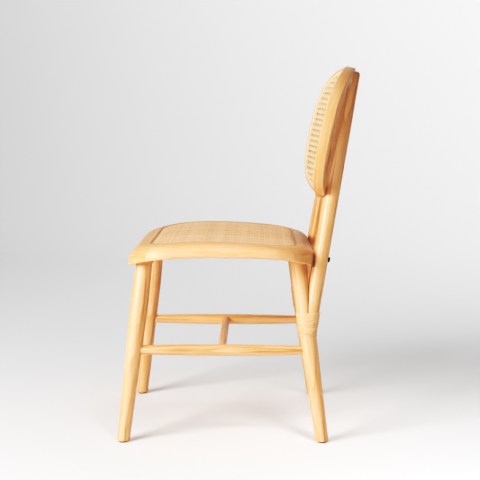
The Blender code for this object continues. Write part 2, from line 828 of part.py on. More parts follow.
def make_back_cane(parent):
    """Thin sheet of open webbing on the hoop's front lip."""
    inset = HOOP_GROOVE_INSET + GROOVE_WIDTH / 2 + GAP
    insets = [(inset, 1)] + [(HOOP_BAND_WIDTH, share) for share in SHEET_RING_SHARES]
    layers, centres = [], []
    for depth in (LIP_STEP - GAP, LIP_STEP - GAP - CANE_THICKNESS):
        rings = []
        for inset, share in insets:
            ring = []
            for turn in hoop_turns():
                x, v = hoop_outline(inset, turn)
                ring.append((x * share, depth - hoop_bow(x * share), v * share))
            rings.append(ring)
        layers.append(rings)
        centres.append((0, depth, 0))
    sheet("back_cane", layers, centres, cane(), parent, hoop_place())


def make_back_reed(parent):
    """Reed pressed into the hoop's groove."""
    shape = [(HOOP_GROOVE_INSET + across, -height) for across, height in reed_shape()]
    bm = bmesh.new()
    loft(bm, [hoop_ring(shape, turn) for turn in hoop_turns()], closed=True)
    new_object("back_reed", bm, reed(), parent, hoop_place())


def hoop_slab_cutter():
    """Curved block from the hoop's rear face forward, which shapes the seats on the posts."""
    bm = bmesh.new()
    front = -2 * HOOP_DEPTH - HOOP_HALF_WIDTH * HOOP_LEAN
    high = HOOP_HALF_HEIGHT + HOOP_BAND_WIDTH
    rings = []
    for step in range(HOOP_STEPS // 2 + 1):
        x = HOOP_HALF_WIDTH * (4 * step / HOOP_STEPS - 1)
        rear = HOOP_DEPTH + GAP - hoop_bow(x)
        rings.append([(x, front, -high), (x, rear, -high), (x, rear, high), (x, front, high)])
    loft(bm, rings)
    return new_object("cutter", bm, None, place=hoop_place())


# Posts, their fasteners and the binding

def post_profile(tip):
    """Heights and radii of a post from the scarf's shoulder to its rounded tip."""
    profile = [(SHOULDER_HEIGHT + GAP, POST_RADIUS), (tip - POST_TIP_ROUNDING, POST_RADIUS)]
    for step in range(1, TIP_STEPS + 1):
        turn = math.pi / 2 * step / TIP_STEPS
        profile.append((tip - POST_TIP_ROUNDING * (1 - math.sin(turn)),
                        POST_RADIUS - POST_TIP_ROUNDING * (1 - math.cos(turn))))
    return profile


def bolt_line(side):
    """Point on the post's axis at the bolt, and the bolt's direction, square to the post in side view."""
    height = mix(rim_under(SEAT_REAR_REACH), rim_top(SEAT_REAR_REACH), BOLT_RISE_SHARE)
    low, high = Vector(post_axis(side)(height)), Vector(post_axis(side)(SEAT_HEIGHT))
    run = (high - low).normalized()
    return low, Vector((0, -run.z, run.y)).normalized()


def screw_line(side, upper):
    """Point on the post's axis at a hoop screw, and the screw's direction, square to the hoop."""
    height = post_meets_hoop(upper)[1]
    tilt = hoop_tilt()
    return Vector(post_axis(side)(height)), Vector((0, -math.cos(tilt), math.sin(tilt)))


def screw_length(upper):
    """Length of a hoop screw from the back of the post to its bite in the hoop."""
    centre, direction = screw_line(1, upper)
    local = hoop_place().inverted() @ centre
    to_hoop = local.y - (HOOP_DEPTH - hoop_bow(local.x))
    return POST_RADIUS + to_hoop + SCREW_BITE


def make_post(name, side, legs, rim, hoop, parent):
    """Round post with its scarf, its seats for the rim and the hoop, and its bolt and screw holes."""
    axis = post_axis(side)
    tip = post_meets_hoop(upper=True)[1] + POST_TIP_ABOVE_SCREW
    post = leaning(name, axis, post_profile(tip), LEG_SIDES, honey_wood(), parent)
    x = abs(axis(SHOULDER_HEIGHT)[0])
    reach = 2 * POST_RADIUS
    low_x, high_x = side * x - reach - OVERRUN, side * x + reach + OVERRUN
    plane = scarf_plane()
    cut(post, box_cutter((low_x, plane - reach, 0), (high_x, plane + GAP, LEG_TOP - reach)))
    rim_plane = SEAT_REAR_REACH + GAP
    cut(post, box_cutter((low_x, rim_plane - reach, rim_under(SEAT_REAR_REACH) - GAP),
                         (high_x, rim_plane, rim_top(SEAT_REAR_REACH) + GAP)))
    cut(post, hoop_slab_cutter())
    leg = legs[f"rear_leg_{'left' if side > 0 else 'right'}"]
    cut(leg, box_cutter((low_x, plane, SHOULDER_HEIGHT), (high_x, plane + reach, LEG_TOP - GAP)))
    make_bolt(side, post, rim["seat_rim_rear"], parent)
    for upper in (True, False):
        make_hoop_screw(side, upper, post, hoop, parent)


def make_bolt(side, post, rim_piece, parent):
    """Bolt through a post into a threaded insert in the rim's rear."""
    label = "left" if side > 0 else "right"
    centre, direction = bolt_line(side)
    seat = centre - direction * (POST_RADIUS - BOLT_SINK)
    face = centre + direction * (SEAT_REAR_REACH - centre.y) / direction.y
    insert_start = face + direction * (BOLT_SINK + GAP)
    insert_end = insert_start + direction * INSERT_LENGTH
    shank = BOLT_RADIUS
    length = (insert_end - seat).length
    head = BOLT_HEAD_HEIGHT
    profile = ((-head, BOLT_HEAD_RADIUS - BOLT_HEAD_BEVEL), (BOLT_HEAD_BEVEL - head, BOLT_HEAD_RADIUS),
               (0, BOLT_HEAD_RADIUS), (0, shank), (length - GAP, shank))
    cut(post, cylinder_cutter(seat - direction * 2 * head, seat + direction * GAP, BOLT_HEAD_RADIUS + GAP),
        cylinder_cutter(seat - direction * head, insert_start + direction * OVERRUN, shank + GAP))
    turned(f"post_bolt_{label}", profile, SMALL_SIDES, dark_steel(), parent, along(seat, insert_end))
    cut(rim_piece, cylinder_cutter(seat, insert_end + direction * GAP, INSERT_RADIUS + GAP))
    sleeve = turned(f"post_insert_{label}", ((0, INSERT_RADIUS), (INSERT_LENGTH, INSERT_RADIUS)), SMALL_SIDES,
                    zinc(), parent, along(insert_start, insert_end))
    cut(sleeve, cylinder_cutter(seat, insert_end + direction * OVERRUN, INSERT_RADIUS - INSERT_WALL))


def make_hoop_screw(side, upper, post, hoop, parent):
    """Countersunk screw from the back of a post into the hoop's band."""
    label = f"{'upper' if upper else 'lower'}_{'left' if side > 0 else 'right'}"
    centre, direction = screw_line(side, upper)
    start = centre - direction * (POST_RADIUS - SCREW_HEAD_SINK)
    length = screw_length(upper) - SCREW_HEAD_SINK
    profile = ((0, SCREW_HEAD_RADIUS), (SCREW_HEAD_HEIGHT, SCREW_RADIUS),
               (length - SCREW_HEAD_HEIGHT, SCREW_RADIUS), (length, SCREW_TIP_RADIUS))
    turned(f"hoop_screw_{label}", profile, SMALL_SIDES, zinc(), parent, along(start, start + direction))
    wide = ((-SCREW_HEAD_HEIGHT, SCREW_HEAD_RADIUS + GAP), (GAP, SCREW_HEAD_RADIUS + GAP),
            (SCREW_HEAD_HEIGHT + GAP, SCREW_RADIUS + GAP), (length + GAP, SCREW_RADIUS + GAP))
    for piece in (post, hoop):
        cut(piece, turned("cutter", wide, SMALL_SIDES, None, None, along(start, start + direction)))


def scarf_surface(side, height, turn, proud):
    """Point at a distance proud of the scarf: round the leg in front and the post behind."""
    behind = math.sin(turn) > 0 and height > SHOULDER_HEIGHT
    centre = post_axis(side)(height) if behind else leg_axis(False, side)(height)
    radius = max(POST_RADIUS, leg_radius(False, height))
    reach = (radius + proud) / math.cos(math.pi / LOOP_POINTS)
    return Vector(centre) + Vector((math.cos(turn), math.sin(turn), 0)) * reach


def binding_rings(side):
    """Sections of the winding from its lower to its upper end, which both run straight."""
    low = SHOULDER_HEIGHT - BINDING_BELOW_SHOULDER + BINDING_WIDTH / 2
    loops = round((BINDING_HEIGHT - BINDING_WIDTH) / BINDING_PITCH)
    rings = []
    for step in range(loops * LOOP_POINTS + 1):
        turn = 2 * math.pi * (step - 1 / 2) / LOOP_POINTS + math.pi / 2
        ring = []
        for along_strip, through in BINDING_SIDE_SHARES:
            height = low + BINDING_PITCH * step / LOOP_POINTS + BINDING_WIDTH * along_strip / 2
            proud = GAP + BINDING_THICKNESS * (1 + through) / 2
            ring.append(scarf_surface(side, height, turn, proud))
        rings.append(ring)
    first_run = (rings[0][0] - rings[1][0]).normalized() * BINDING_WIDTH
    last_run = (rings[-1][0] - rings[-2][0]).normalized() * BINDING_WIDTH
    rings.insert(0, [point + first_run for point in rings[0]])
    rings.append([point + last_run for point in rings[-1]])
    return rings


def least_gap(rings):
    """Least distance between points of the winding that are more than half a loop apart."""
    array = np.array(rings)
    least = math.inf
    for index in range(len(array)):
        later = array[index + LOOP_POINTS // 2:].reshape(-1, 3)
        if len(later):
            steps = array[index][:, None, :] - later[None, :, :]
            least = min(least, float(np.sqrt((steps ** 2).sum(axis=2)).min()))
    return least


def make_binding(name, side, parent):
    """Rattan peel wound round the scarf as one unbroken flat tube."""
    rings = binding_rings(side)
    print(f"{name}: least gap between turns {least_gap(rings) * 1000:.2f} mm")
    bm = bmesh.new()
    loft(bm, rings)
    new_object(name, bm, material("rattan_peel", RATTAN_PEEL, 0.45), parent)


# Whole chair

def centre_on_floor(root):
    """Move the root so that the chair's box is centred over the origin, and stands on the floor."""
    bpy.context.view_layer.update()
    corners = [obj.matrix_world @ Vector(corner) for obj in root.children for corner in obj.bound_box]
    low = [min(corner[axis] for corner in corners) for axis in range(3)]
    high = [max(corner[axis] for corner in corners) for axis in range(3)]
    root.location = (-(low[0] + high[0]) / 2, -(low[1] + high[1]) / 2, -low[2])


def make_chair():
    """Build every piece under one empty."""
    clear_scene()
    root = bpy.data.objects.new("chair", None)
    bpy.context.scene.collection.objects.link(root)
    legs = make_base(root)
    rim = make_rim(root)
    make_panel(root)
    make_seat_reed(root)
    hoop = make_hoop(root)
    make_back_cane(root)
    make_back_reed(root)
    for side_name, side in SIDES:
        make_post(f"back_post_{side_name}", side, legs, rim, hoop, root)
        make_binding(f"binding_{side_name}", side, root)
    centre_on_floor(root)


make_chair()
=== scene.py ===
"""Looks of a rattan dining chair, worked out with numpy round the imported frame.

Every piece is made of closed tubes, each a whole array: rings of points carried along a leg, a rod, the
seat's rim or the back's hoop, and flat strands that run over and under each other in the two woven panels.
Shapes have Y = 0 midway between the feet and are moved to the frame's place when a mesh is made.
"""
import math

import bpy
import numpy as np
from bpy.props import FloatProperty, FloatVectorProperty, IntProperty, PointerProperty
from mathutils import Matrix, Vector


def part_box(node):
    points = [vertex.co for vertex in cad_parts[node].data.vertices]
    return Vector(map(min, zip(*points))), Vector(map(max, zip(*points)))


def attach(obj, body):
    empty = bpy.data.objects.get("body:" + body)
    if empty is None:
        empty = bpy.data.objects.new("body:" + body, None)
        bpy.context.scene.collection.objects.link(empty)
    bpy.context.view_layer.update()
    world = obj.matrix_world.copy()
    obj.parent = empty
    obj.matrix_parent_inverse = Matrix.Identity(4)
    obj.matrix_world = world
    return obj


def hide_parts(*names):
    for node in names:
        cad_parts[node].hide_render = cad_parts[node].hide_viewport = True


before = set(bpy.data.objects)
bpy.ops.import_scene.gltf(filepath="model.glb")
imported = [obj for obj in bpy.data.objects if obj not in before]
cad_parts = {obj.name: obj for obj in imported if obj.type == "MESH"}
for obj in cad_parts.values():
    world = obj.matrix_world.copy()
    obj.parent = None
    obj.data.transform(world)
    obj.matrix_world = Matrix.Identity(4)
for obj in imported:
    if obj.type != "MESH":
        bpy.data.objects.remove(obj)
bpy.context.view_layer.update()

bl_info = {
    "name": "Rattan Dining Chair",
    "version": (1, 0, 0),
    "blender": (4, 5, 0),
    "location": "3D View > Sidebar > Chair",
    "description": "Builds the visible pieces, finishes and studio of a rattan dining chair",
    "category": "Object",
}

# Sizes of the frame, in metres
GAP = 0.0003
SEAT_HEIGHT = 0.4520
SEAT_HALF_WIDTH = 0.243
SEAT_FRONT_REACH, SEAT_REAR_REACH = 0.2160, 0.2040
SEAT_CORNER_RADIUS = 0.108
SEAT_CROWN_Y = -0.040
RIM_THICKNESS = 0.0340
RIM_DROOP_FRONT, RIM_DROOP_REAR = 0.0225, 0.0200
RIM_UNDER_DROOP, UNDER_DROOP_POWER = 0.0275, 4
RIM_EDGE_RADIUS = 0.003
RIM_JOINT_ARC_SHARE = 0.625
RIM_JOINT_END_SHARE = 0.985
RIM_SOFT_EDGE = 0.0004
FRONT_ROUND_WIDTH, FRONT_ROUND_SHARE = 0.0360, 0.90
SIDE_ROUND_WIDTH, SIDE_ROUND_SHARE = 0.0235, 0.55
REAR_ROUND_WIDTH, REAR_ROUND_SHARE = 0.0300, 0.46
FRONT_BLEND_STATIONS = 1.5
END_UNDER_ROUND_SHARE, SIDE_UNDER_ROUND_SHARE = 0.08, 0.32
UNDER_ROUND_ASPECT, UNDER_FACE_SHARES = 0.75, (0.6, 0.3)
PANEL_SIDE_MARGIN, PANEL_FRONT_MARGIN, PANEL_REAR_MARGIN = 0.030, 0.054, 0.043
PANEL_CORNER_RADIUS = 0.065
LIP_WIDTH, LIP_STEP = 0.016, 0.0020
GROOVE_WIDTH, GROOVE_DEPTH = 0.0062, 0.0050
REED_WIDTH, REED_PROUD = 0.0042, 0.0003
LEG_TOP = 0.3971
LEG_SIDE_INSET, LEG_FRONT_INSET, LEG_REAR_INSET = 0.088, 0.038, 0.0360
FRONT_SPLAY, FRONT_RAKE = 0.056, 0.045
REAR_SPLAY, REAR_RAKE = 0.050, 0.055
LEG_PAD_RADIUS, LEG_PAD_SOFT_EDGE = 0.0215, 0.0010
FOOT_SOFT_EDGE = 0.0018
GLIDE_RADIUS, GLIDE_THICKNESS, GLIDE_EDGE = 0.0100, 0.0027, 0.0008
STRETCHER_HEIGHT = 0.203
STRETCHER_HOUSING = 0.0050
SIDE_STRETCHER_RADII = (0.0101, 0.0130)
CROSS_STRETCHER_RADII = (0.0089, 0.0093)
POST_RADIUS = 0.0181
POST_TOE_IN = 0.130
POST_RIM_LET_IN = 0.0058
POST_TIP_ROUNDING = 0.0090
SHOULDER_HEIGHT = 0.2405
BINDING_HEIGHT, BINDING_PITCH = 0.0545, 0.0050
BINDING_BELOW_SHOULDER = 0.0050
PEEL_WIDTH_SHARE, PEEL_THICKNESS, PEEL_WOBBLE = 0.92, 0.0016, 0.00022
PEEL_EDGE_SHARE, PEEL_FLAT_SHARE, PEEL_FLAT_SPREAD = 0.30, 0.86, 0.00018
PEEL_GRAIN_RADIUS, PEEL_UNDER_SHARE, PEEL_POINTS = 0.02, 0.9, 7
HOOP_HALF_WIDTH, HOOP_HALF_HEIGHT = 0.228, 0.1535
HOOP_UPPER_POWER, HOOP_LOWER_POWER = 2.75, 3.3
HOOP_CENTRE_HEIGHT = 0.6890
HOOP_LEAN, HOOP_BEND_RADIUS = 0.212, 0.715
HOOP_DEPTH, HOOP_BAND_WIDTH = 0.0240, 0.0215
HOOP_EDGE_RADIUS, HOOP_REAR_EDGE_RADIUS, HOOP_SOFT_EDGE = 0.0040, 0.0015, 0.0005
HOOP_LET_IN = 0.0052
HOOP_GROOVE_INSET = 0.0105
BOLT_RISE_SHARE = 0.42
BOLT_HEAD_RADIUS, BOLT_HEAD_HEIGHT, BOLT_HEAD_ROUNDING = 0.0058, 0.0038, 0.0011
BOLT_HEAD_CROWN, BOLT_END_LENGTH, BOLT_END_TAPER = 0.0009, 0.001, 0.0008
BOLT_RADIUS, BOLT_LENGTH, BOLT_SINK = 0.0030, 0.037, 0.0010
SOCKET_ROWS, SOCKET_LOBES = ((0.0022, 0.0031), (0, 0.0034)), (6, 0.12)
SCREW_HEAD_RADIUS, SCREW_HEAD_SINK, SCREW_RADIUS = 0.0042, 0.0010, 0.0021
SCREW_HEAD_EDGE, SCREW_HEAD_HEIGHT, SCREW_POINT_LENGTH = 0.0003, 0.003, 0.004
CROSS_RECESS = ((0.0018, 0.0012, 4, 0.5), (0, 0.0024, 4, 0.62))
UPPER_SCREW_INSET, LOWER_SCREW_INSET = 0.0170, 0.0110

# Heights and radii of the turned legs
FRONT_LEG_HEIGHTS = (0.0, 0.045, 0.09, 0.145, 0.20, 0.245, 0.30, 0.35, LEG_TOP)
FRONT_LEG_RADII = (0.01425, 0.0153, 0.01625, 0.0170, 0.0182, 0.0192, 0.02025, 0.0196, 0.0185)
REAR_LEG_HEIGHTS = (0.0, 0.03, 0.09, 0.145, 0.20, 0.30, LEG_TOP)
REAR_LEG_RADII = (0.01475, 0.0152, 0.01625, 0.0173, 0.0188, 0.0189, 0.0188)

SHIFT_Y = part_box("seat_rim_rear")[1][1] - SEAT_REAR_REACH
POST_TIP_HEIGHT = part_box("back_post_left")[1][2]
HOOP_TILT = math.atan(HOOP_LEAN)
SCARF_Y = SEAT_REAR_REACH - LEG_REAR_INSET + REAR_RAKE * (1 - SHOULDER_HEIGHT / LEG_TOP)
SIDES = (("left", 1), ("right", -1))
ENDS = (("front", True), ("rear", False))
CORNERS = tuple((place, front, name, side) for name, side in SIDES for place, front in ENDS)

# Edges of the woven seat, which ends within its groove, and the dip of both panels' strands into theirs
CANE_HALF_WIDTH = SEAT_HALF_WIDTH - PANEL_SIDE_MARGIN - GROOVE_WIDTH / 4
CANE_FRONT = PANEL_FRONT_MARGIN + GROOVE_WIDTH / 4 - SEAT_FRONT_REACH
CANE_REAR = SEAT_REAR_REACH - PANEL_REAR_MARGIN - GROOVE_WIDTH / 4
CANE_CORNER = PANEL_CORNER_RADIUS - GROOVE_WIDTH / 4
SEAT_DIP, BACK_DIP, DIP_REACH = 0.0011, 0.0009, 0.0030

# Waves of the strands as shares of their thickness, spread of a pair as a share of the width, unevenness,
# shortest step and run in pitches, and starts of the random draws
SEAT_WAVE, PAIR_LEVEL, PAIR_WAVE, SLANT_WAVE = 0.52, 0.35, 0.3, 1.05
PAIR_SPREAD_SHARE = 0.55
SEAT_STRAY_SHARE, BACK_STRAY = 0.045, 0.00012
SEAT_WIDTH_SHARES, BACK_WIDTH_SHARES = (0.93, 1.05), (0.94, 1.05)
SHORTEST_STEP, SHORTEST_RUN = 0.08, 4
SEED_ACROSS, SEED_ALONG, SEED_BACK, SEED_BINDING = 11, 29, 5, 3

# Tones of the turned pieces, spread of the strands' tones, and the peel's middle tone and slow change
LEG_TONES, STRETCHER_TONE, CROSS_TONE, POST_TONE = (0.46, 0.44, 0.52, 0.5), 0.46, 0.56, 0.45
SEAT_TONE_DRIFT, SEAT_TONE_SPREAD, BACK_TONE_SPREAD = 0.30, 0.17, 0.2
PEEL_TONE, PEEL_TONE_CHANGE, PEEL_TONE_TURNS = 0.42, 0.10, 1.7

# Metals as (colour, roughness, depth of scratches), and colour of the glides
STEEL, ZINC = ((0.045, 0.042, 0.040), 0.38, 0.2), ((0.62, 0.60, 0.55), 0.32, 0.25)
GLIDE_COLOUR = (0.022, 0.020, 0.018)

# Detail of the meshes
LEG_SIDES, LEG_RINGS, POST_RINGS = 64, 72, 150
ROD_SIDES, ROD_RINGS = 40, 48
CORNER_STEPS, STRAIGHT_STEPS = 36, 20
HOOP_STEPS = 288
ARC_STEPS, OVER_STEPS, UNDER_STEPS = 4, 14, 8
SMALL_SIDES = 48
LOOP_POINTS = 48
SMOOTH_ANGLE = math.radians(32)

# Camera: focal length and width of the film in millimetres, place, and turns in degrees
CAMERA_LENS, FILM_WIDTH = 82.5, 36
CAMERA_PLACE = (2.601, 0.071, 0.748)
CAMERA_YAW, CAMERA_PITCH, CAMERA_ROLL = -0.79, 6.97, 0.13

# Backdrop sheet, and tone curve of the picture as (light in, light out) between black and white
COVE_RADIUS, COVE_FAR, COVE_NEAR, COVE_HEIGHT, COVE_HALF_WIDTH = 1.6, -4.2, 7.0, 5.5, 8
TONE_POINTS = ((0.10, 0.052), (0.20, 0.195), (0.32, 0.42), (0.60, 0.76))

# Place and target of each light, sides of the square lights, and the floor light's narrow spread
LIGHT_LINES = {"key_light": ((1.70, -1.95, 1.35), (0, 0.2, 0.35)),
               "wall_light": ((-1.7, 0.8, 3.4), (-4.2, 0.2, 1.2)),
               "right_light": ((-1.4, 3.6, 2.6), (-3.9, 2.8, 1.9)),
               "fill_light": ((2.30, -0.55, 1.25), (0, 0, 0.45)),
               "floor_light": ((1.5, 0.8, 2.6), (0.75, 0.65, 0.0))}
WALL_LIGHT, RIGHT_LIGHT, FILL_LIGHT, FLOOR_LIGHT = 2.6, 1.6, 0.9, 0.6
FLOOR_LIGHT_SPREAD = math.radians(50)


# Array helpers

def mix(first, second, share):
    """Value at a share of the way from first to second."""
    return first + (second - first) * share


def eased(share):
    """Share held between 0 and 1, with a soft start and end: 3 s squared minus 2 s cubed."""
    share = np.clip(share, 0, 1)
    return share * share * (3 - 2 * share)


def unit(vectors):
    """Vectors divided by their lengths."""
    return vectors / np.linalg.norm(vectors, axis=-1, keepdims=True)


def smooth_curve(at, stations, values):
    """Cubic Hermite curve through (station, value) pairs, with slopes from the neighbouring pairs."""
    stations, values = np.array(stations), np.array(values)
    slopes = np.gradient(values, stations)
    index = np.clip(np.searchsorted(stations, at) - 1, 0, len(stations) - 2)
    span = stations[index + 1] - stations[index]
    t = (at - stations[index]) / span
    start = (1 + 2 * t) * (1 - t) ** 2 * values[index] + t * (1 - t) ** 2 * span * slopes[index]
    end = t * t * (3 - 2 * t) * values[index + 1] + t * t * (t - 1) * span * slopes[index + 1]
    return start + end


def circle_turns(sides):
    """Angles of evenly spaced points round a circle."""
    return 2 * np.pi * np.arange(sides) / sides


def quarter_turn(steps):
    """Pairs of 1 less the sine and 1 less the cosine at even steps of a quarter turn."""
    turn = np.linspace(0, np.pi / 2, steps)
    return list(zip(1 - np.sin(turn), 1 - np.cos(turn)))


def stack(*parts):
    """Join coordinate arrays of different shapes into one array of points."""
    return np.stack(np.broadcast_arrays(*parts), axis=-1).astype(float)


def run_length(path):
    """Length along a path at each of its points."""
    return np.concatenate([[0], np.cumsum(np.linalg.norm(np.diff(path, axis=0), axis=1))])


def tube_faces(rings):
    """Quads and flat end caps of a tube, turned outwards: its tetrahedra from the middle add up past 0."""
    total, width = rings.shape[:2]
    row = np.arange(total - 1)[:, None] * width
    first, beside = row + np.arange(width), row + (np.arange(width) + 1) % width
    quads = np.stack([first, beside, beside + width, first + width], axis=-1).reshape(-1, 4)
    caps = [np.arange(width)[::-1], (total - 1) * width + np.arange(width)]
    fans = [np.stack([np.full(width - 2, cap[0]), cap[1:-1], cap[2:]], axis=-1) for cap in caps]
    points = rings.reshape(-1, 3) - rings.mean(axis=(0, 1))
    corners = points[np.concatenate([quads[:, [0, 1, 2]], quads[:, [0, 2, 3]], *fans])]
    if np.einsum("ij,ij->", corners[:, 0], np.cross(corners[:, 1], corners[:, 2])) < 0:
        return quads[:, ::-1], [cap[::-1] for cap in caps]
    return quads, caps


def in_scene(name, data):
    """New object with its data, linked to the scene."""
    made = bpy.data.objects.new(name, data)
    bpy.context.scene.collection.objects.link(made)
    return made


def new_piece(node, way, tubes, look, tone=0.5, smooth=SMOOTH_ANGLE):
    """Put tubes, as (rings, grain) pairs, into a mesh with its finish.  The piece stands for a node of the
    frame, and is named after it and the way it is made."""
    name = f"{node}_{way}"
    points, grain, quads, caps = [], [], [], []
    count = 0
    for rings, lines in tubes:
        faces, ends = tube_faces(rings)
        points.append(rings.reshape(-1, 3))
        grain.append(lines.reshape(-1, 3))
        quads.append(faces + count)
        caps += [end + count for end in ends]
        count += len(points[-1])
    points = np.concatenate(points) + (0, SHIFT_Y, 0)
    quads = np.concatenate(quads)
    sizes = np.array([4] * len(quads) + [len(cap) for cap in caps])
    mesh = bpy.data.meshes.new(name)
    mesh.vertices.add(count)
    mesh.vertices.foreach_set("co", points.astype(np.float32).ravel())
    mesh.loops.add(int(sizes.sum()))
    mesh.loops.foreach_set("vertex_index", np.concatenate([quads.ravel(), *caps]).astype(np.int32))
    mesh.polygons.add(len(sizes))
    mesh.polygons.foreach_set("loop_start", (np.cumsum(sizes) - sizes).astype(np.int32))
    mesh.update(calc_edges=True)
    lines = mesh.attributes.new("grain", "FLOAT_VECTOR", "POINT")
    lines.data.foreach_set("vector", np.concatenate(grain).astype(np.float32).ravel())
    tones = mesh.attributes.new("tone", "FLOAT", "POINT")
    tones.data.foreach_set("value", np.full(count, tone, np.float32))
    mesh.shade_smooth()
    mesh.set_sharp_from_angle(angle=smooth)
    mesh.materials.append(look)
    piece = in_scene(name, mesh)
    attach(piece, "root")
    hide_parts(node)


# Legs, posts and rods

def leg_axis(front, side, height):
    """Centre of a leg: it spreads out from under the seat in straight proportion to the way down."""
    down = 1 - height / LEG_TOP
    x = side * (SEAT_HALF_WIDTH - LEG_SIDE_INSET + (FRONT_SPLAY if front else REAR_SPLAY) * down)
    if front:
        return x, LEG_FRONT_INSET - SEAT_FRONT_REACH - FRONT_RAKE * down
    return x, SEAT_REAR_REACH - LEG_REAR_INSET + REAR_RAKE * down


def leg_radius(front, height):
    """Radius of a leg: a smooth curve through its turned sizes."""
    if front:
        return smooth_curve(height, FRONT_LEG_HEIGHTS, FRONT_LEG_RADII)
    return smooth_curve(height, REAR_LEG_HEIGHTS, REAR_LEG_RADII)


def post_axis(side, height):
    """Centre of a post: a straight line from the leg's axis at the scarf past the rim's rear."""
    base_x = leg_axis(False, 1, SHOULDER_HEIGHT)[0]
    at_rim = SEAT_REAR_REACH + POST_RADIUS - POST_RIM_LET_IN
    lean = (at_rim - SCARF_Y) / (LEG_TOP - SHOULDER_HEIGHT)
    rise = height - SHOULDER_HEIGHT
    return side * (base_x - POST_TOE_IN * rise), SCARF_Y + lean * rise


def level_rings(x, y, radius, heights):
    """Level circles about the points (x, y) of an upright or leaning axis."""
    x, y, radius = (np.broadcast_to(value, heights.shape)[:, None] for value in (x, y, radius))
    turn = circle_turns(LEG_SIDES)
    return stack(x + radius * np.cos(turn), y + radius * np.sin(turn), heights[:, None])


def timber(index):
    """Place in the timber of one turned piece, so that no two have the same grain."""
    return np.array([0.013 * index - 0.02, 0.009 * index, 0.83 * index])


def timber_grain(rings, x, y, index):
    """Grain coordinates of level rings: their distance from the axis, and their height."""
    return rings - stack(x, y, 0)[:, None, :] + timber(index)


def rod(start, end, radii, index):
    """Rings square to a rod, whose radius falls off with the square of the distance from its middle."""
    direction = unit(end - start)
    side = unit(np.cross(direction, (0, 0, 1)))
    up = np.cross(side, direction)
    share = np.linspace(-1, 1, ROD_RINGS)[:, None]
    radius = radii[1] - (radii[1] - radii[0]) * share ** 2
    turn = circle_turns(ROD_SIDES)
    spokes = side * np.cos(turn)[:, None] + up * np.sin(turn)[:, None]
    rings = mix(start, end, (share + 1) / 2)[:, None, :] + spokes * radius[..., None]
    length = np.linalg.norm(end - start) * (share + 1) / 2
    return rings, stack(radius * np.cos(turn), radius * np.sin(turn), length) + timber(index)


# Seat outline and rim

def one_side(station):
    """Stations 5 to 10 of an outline brought back to the mirrored ones, 5 to 0."""
    return np.where(station > 5, 10 - station, station)


def rounded_outline(half_width, front, rear, radius, station):
    """Rounded rectangle by station: 0 front middle, corners 1 to 2 and 3 to 4, 5 rear middle, then back."""
    half = one_side(station)
    part = np.minimum(np.floor(half), 4)
    share = half - part
    reach = half_width - radius
    across, onward = radius * np.sin(np.pi / 2 * share), radius * np.cos(np.pi / 2 * share)
    which = [part == 0, part == 1, part == 2, part == 3]
    x = np.select(which, [reach * share, reach + across, half_width + 0 * share, reach + onward],
                  reach * (1 - share))
    y = np.select(which, [0 * share - front, radius - front - onward,
                          mix(radius - front, rear - radius, share), rear - radius + across], rear)
    return stack(np.where(station > 5, -x, x), y)


def rim_outer(station):
    """Outer outline of the rim."""
    return rounded_outline(SEAT_HALF_WIDTH, SEAT_FRONT_REACH, SEAT_REAR_REACH, SEAT_CORNER_RADIUS, station)


def groove_line(station):
    """Middle line of the groove round the woven seat."""
    return rounded_outline(SEAT_HALF_WIDTH - PANEL_SIDE_MARGIN, SEAT_FRONT_REACH - PANEL_FRONT_MARGIN,
                           SEAT_REAR_REACH - PANEL_REAR_MARGIN, PANEL_CORNER_RADIUS, station)


def rim_directions(station):
    """Level directions inwards across the rim and onwards along it."""
    inward = unit(groove_line(station) - rim_outer(station))
    return inward, stack(inward[:, 1], -inward[:, 0])


def seat_stations():
    """Fine stations of the seat's outlines."""
    half = (STRAIGHT_STEPS, CORNER_STEPS, STRAIGHT_STEPS, CORNER_STEPS, STRAIGHT_STEPS)
    return np.concatenate([part + np.arange(steps) / steps for part, steps in enumerate(half + half[::-1])])


def rim_top(y):
    """Height of the rim's top: it falls with the square of the distance from the crown."""
    ahead = (y - SEAT_CROWN_Y) / (SEAT_FRONT_REACH + SEAT_CROWN_Y)
    behind = (y - SEAT_CROWN_Y) / (SEAT_REAR_REACH - SEAT_CROWN_Y)
    fall = np.where(y < SEAT_CROWN_Y, RIM_DROOP_FRONT * ahead ** 2, RIM_DROOP_REAR * behind ** 2)
    return SEAT_HEIGHT - fall


def rim_under(y):
    """Height of the rim's under face: it falls with the fourth power of the way to the front or rear."""
    share = np.minimum(np.abs(y) / np.where(y < 0, SEAT_FRONT_REACH, SEAT_REAR_REACH), 1)
    return SEAT_HEIGHT - RIM_THICKNESS - RIM_UNDER_DROOP * share ** UNDER_DROOP_POWER


def rim_blend(station, front, side, rear):
    """Size that passes from the front's to the sides' and on to the rear's."""
    half = one_side(station)
    return mix(mix(front, side, eased((half - 1) / FRONT_BLEND_STATIONS)), rear, eased(half - 3))


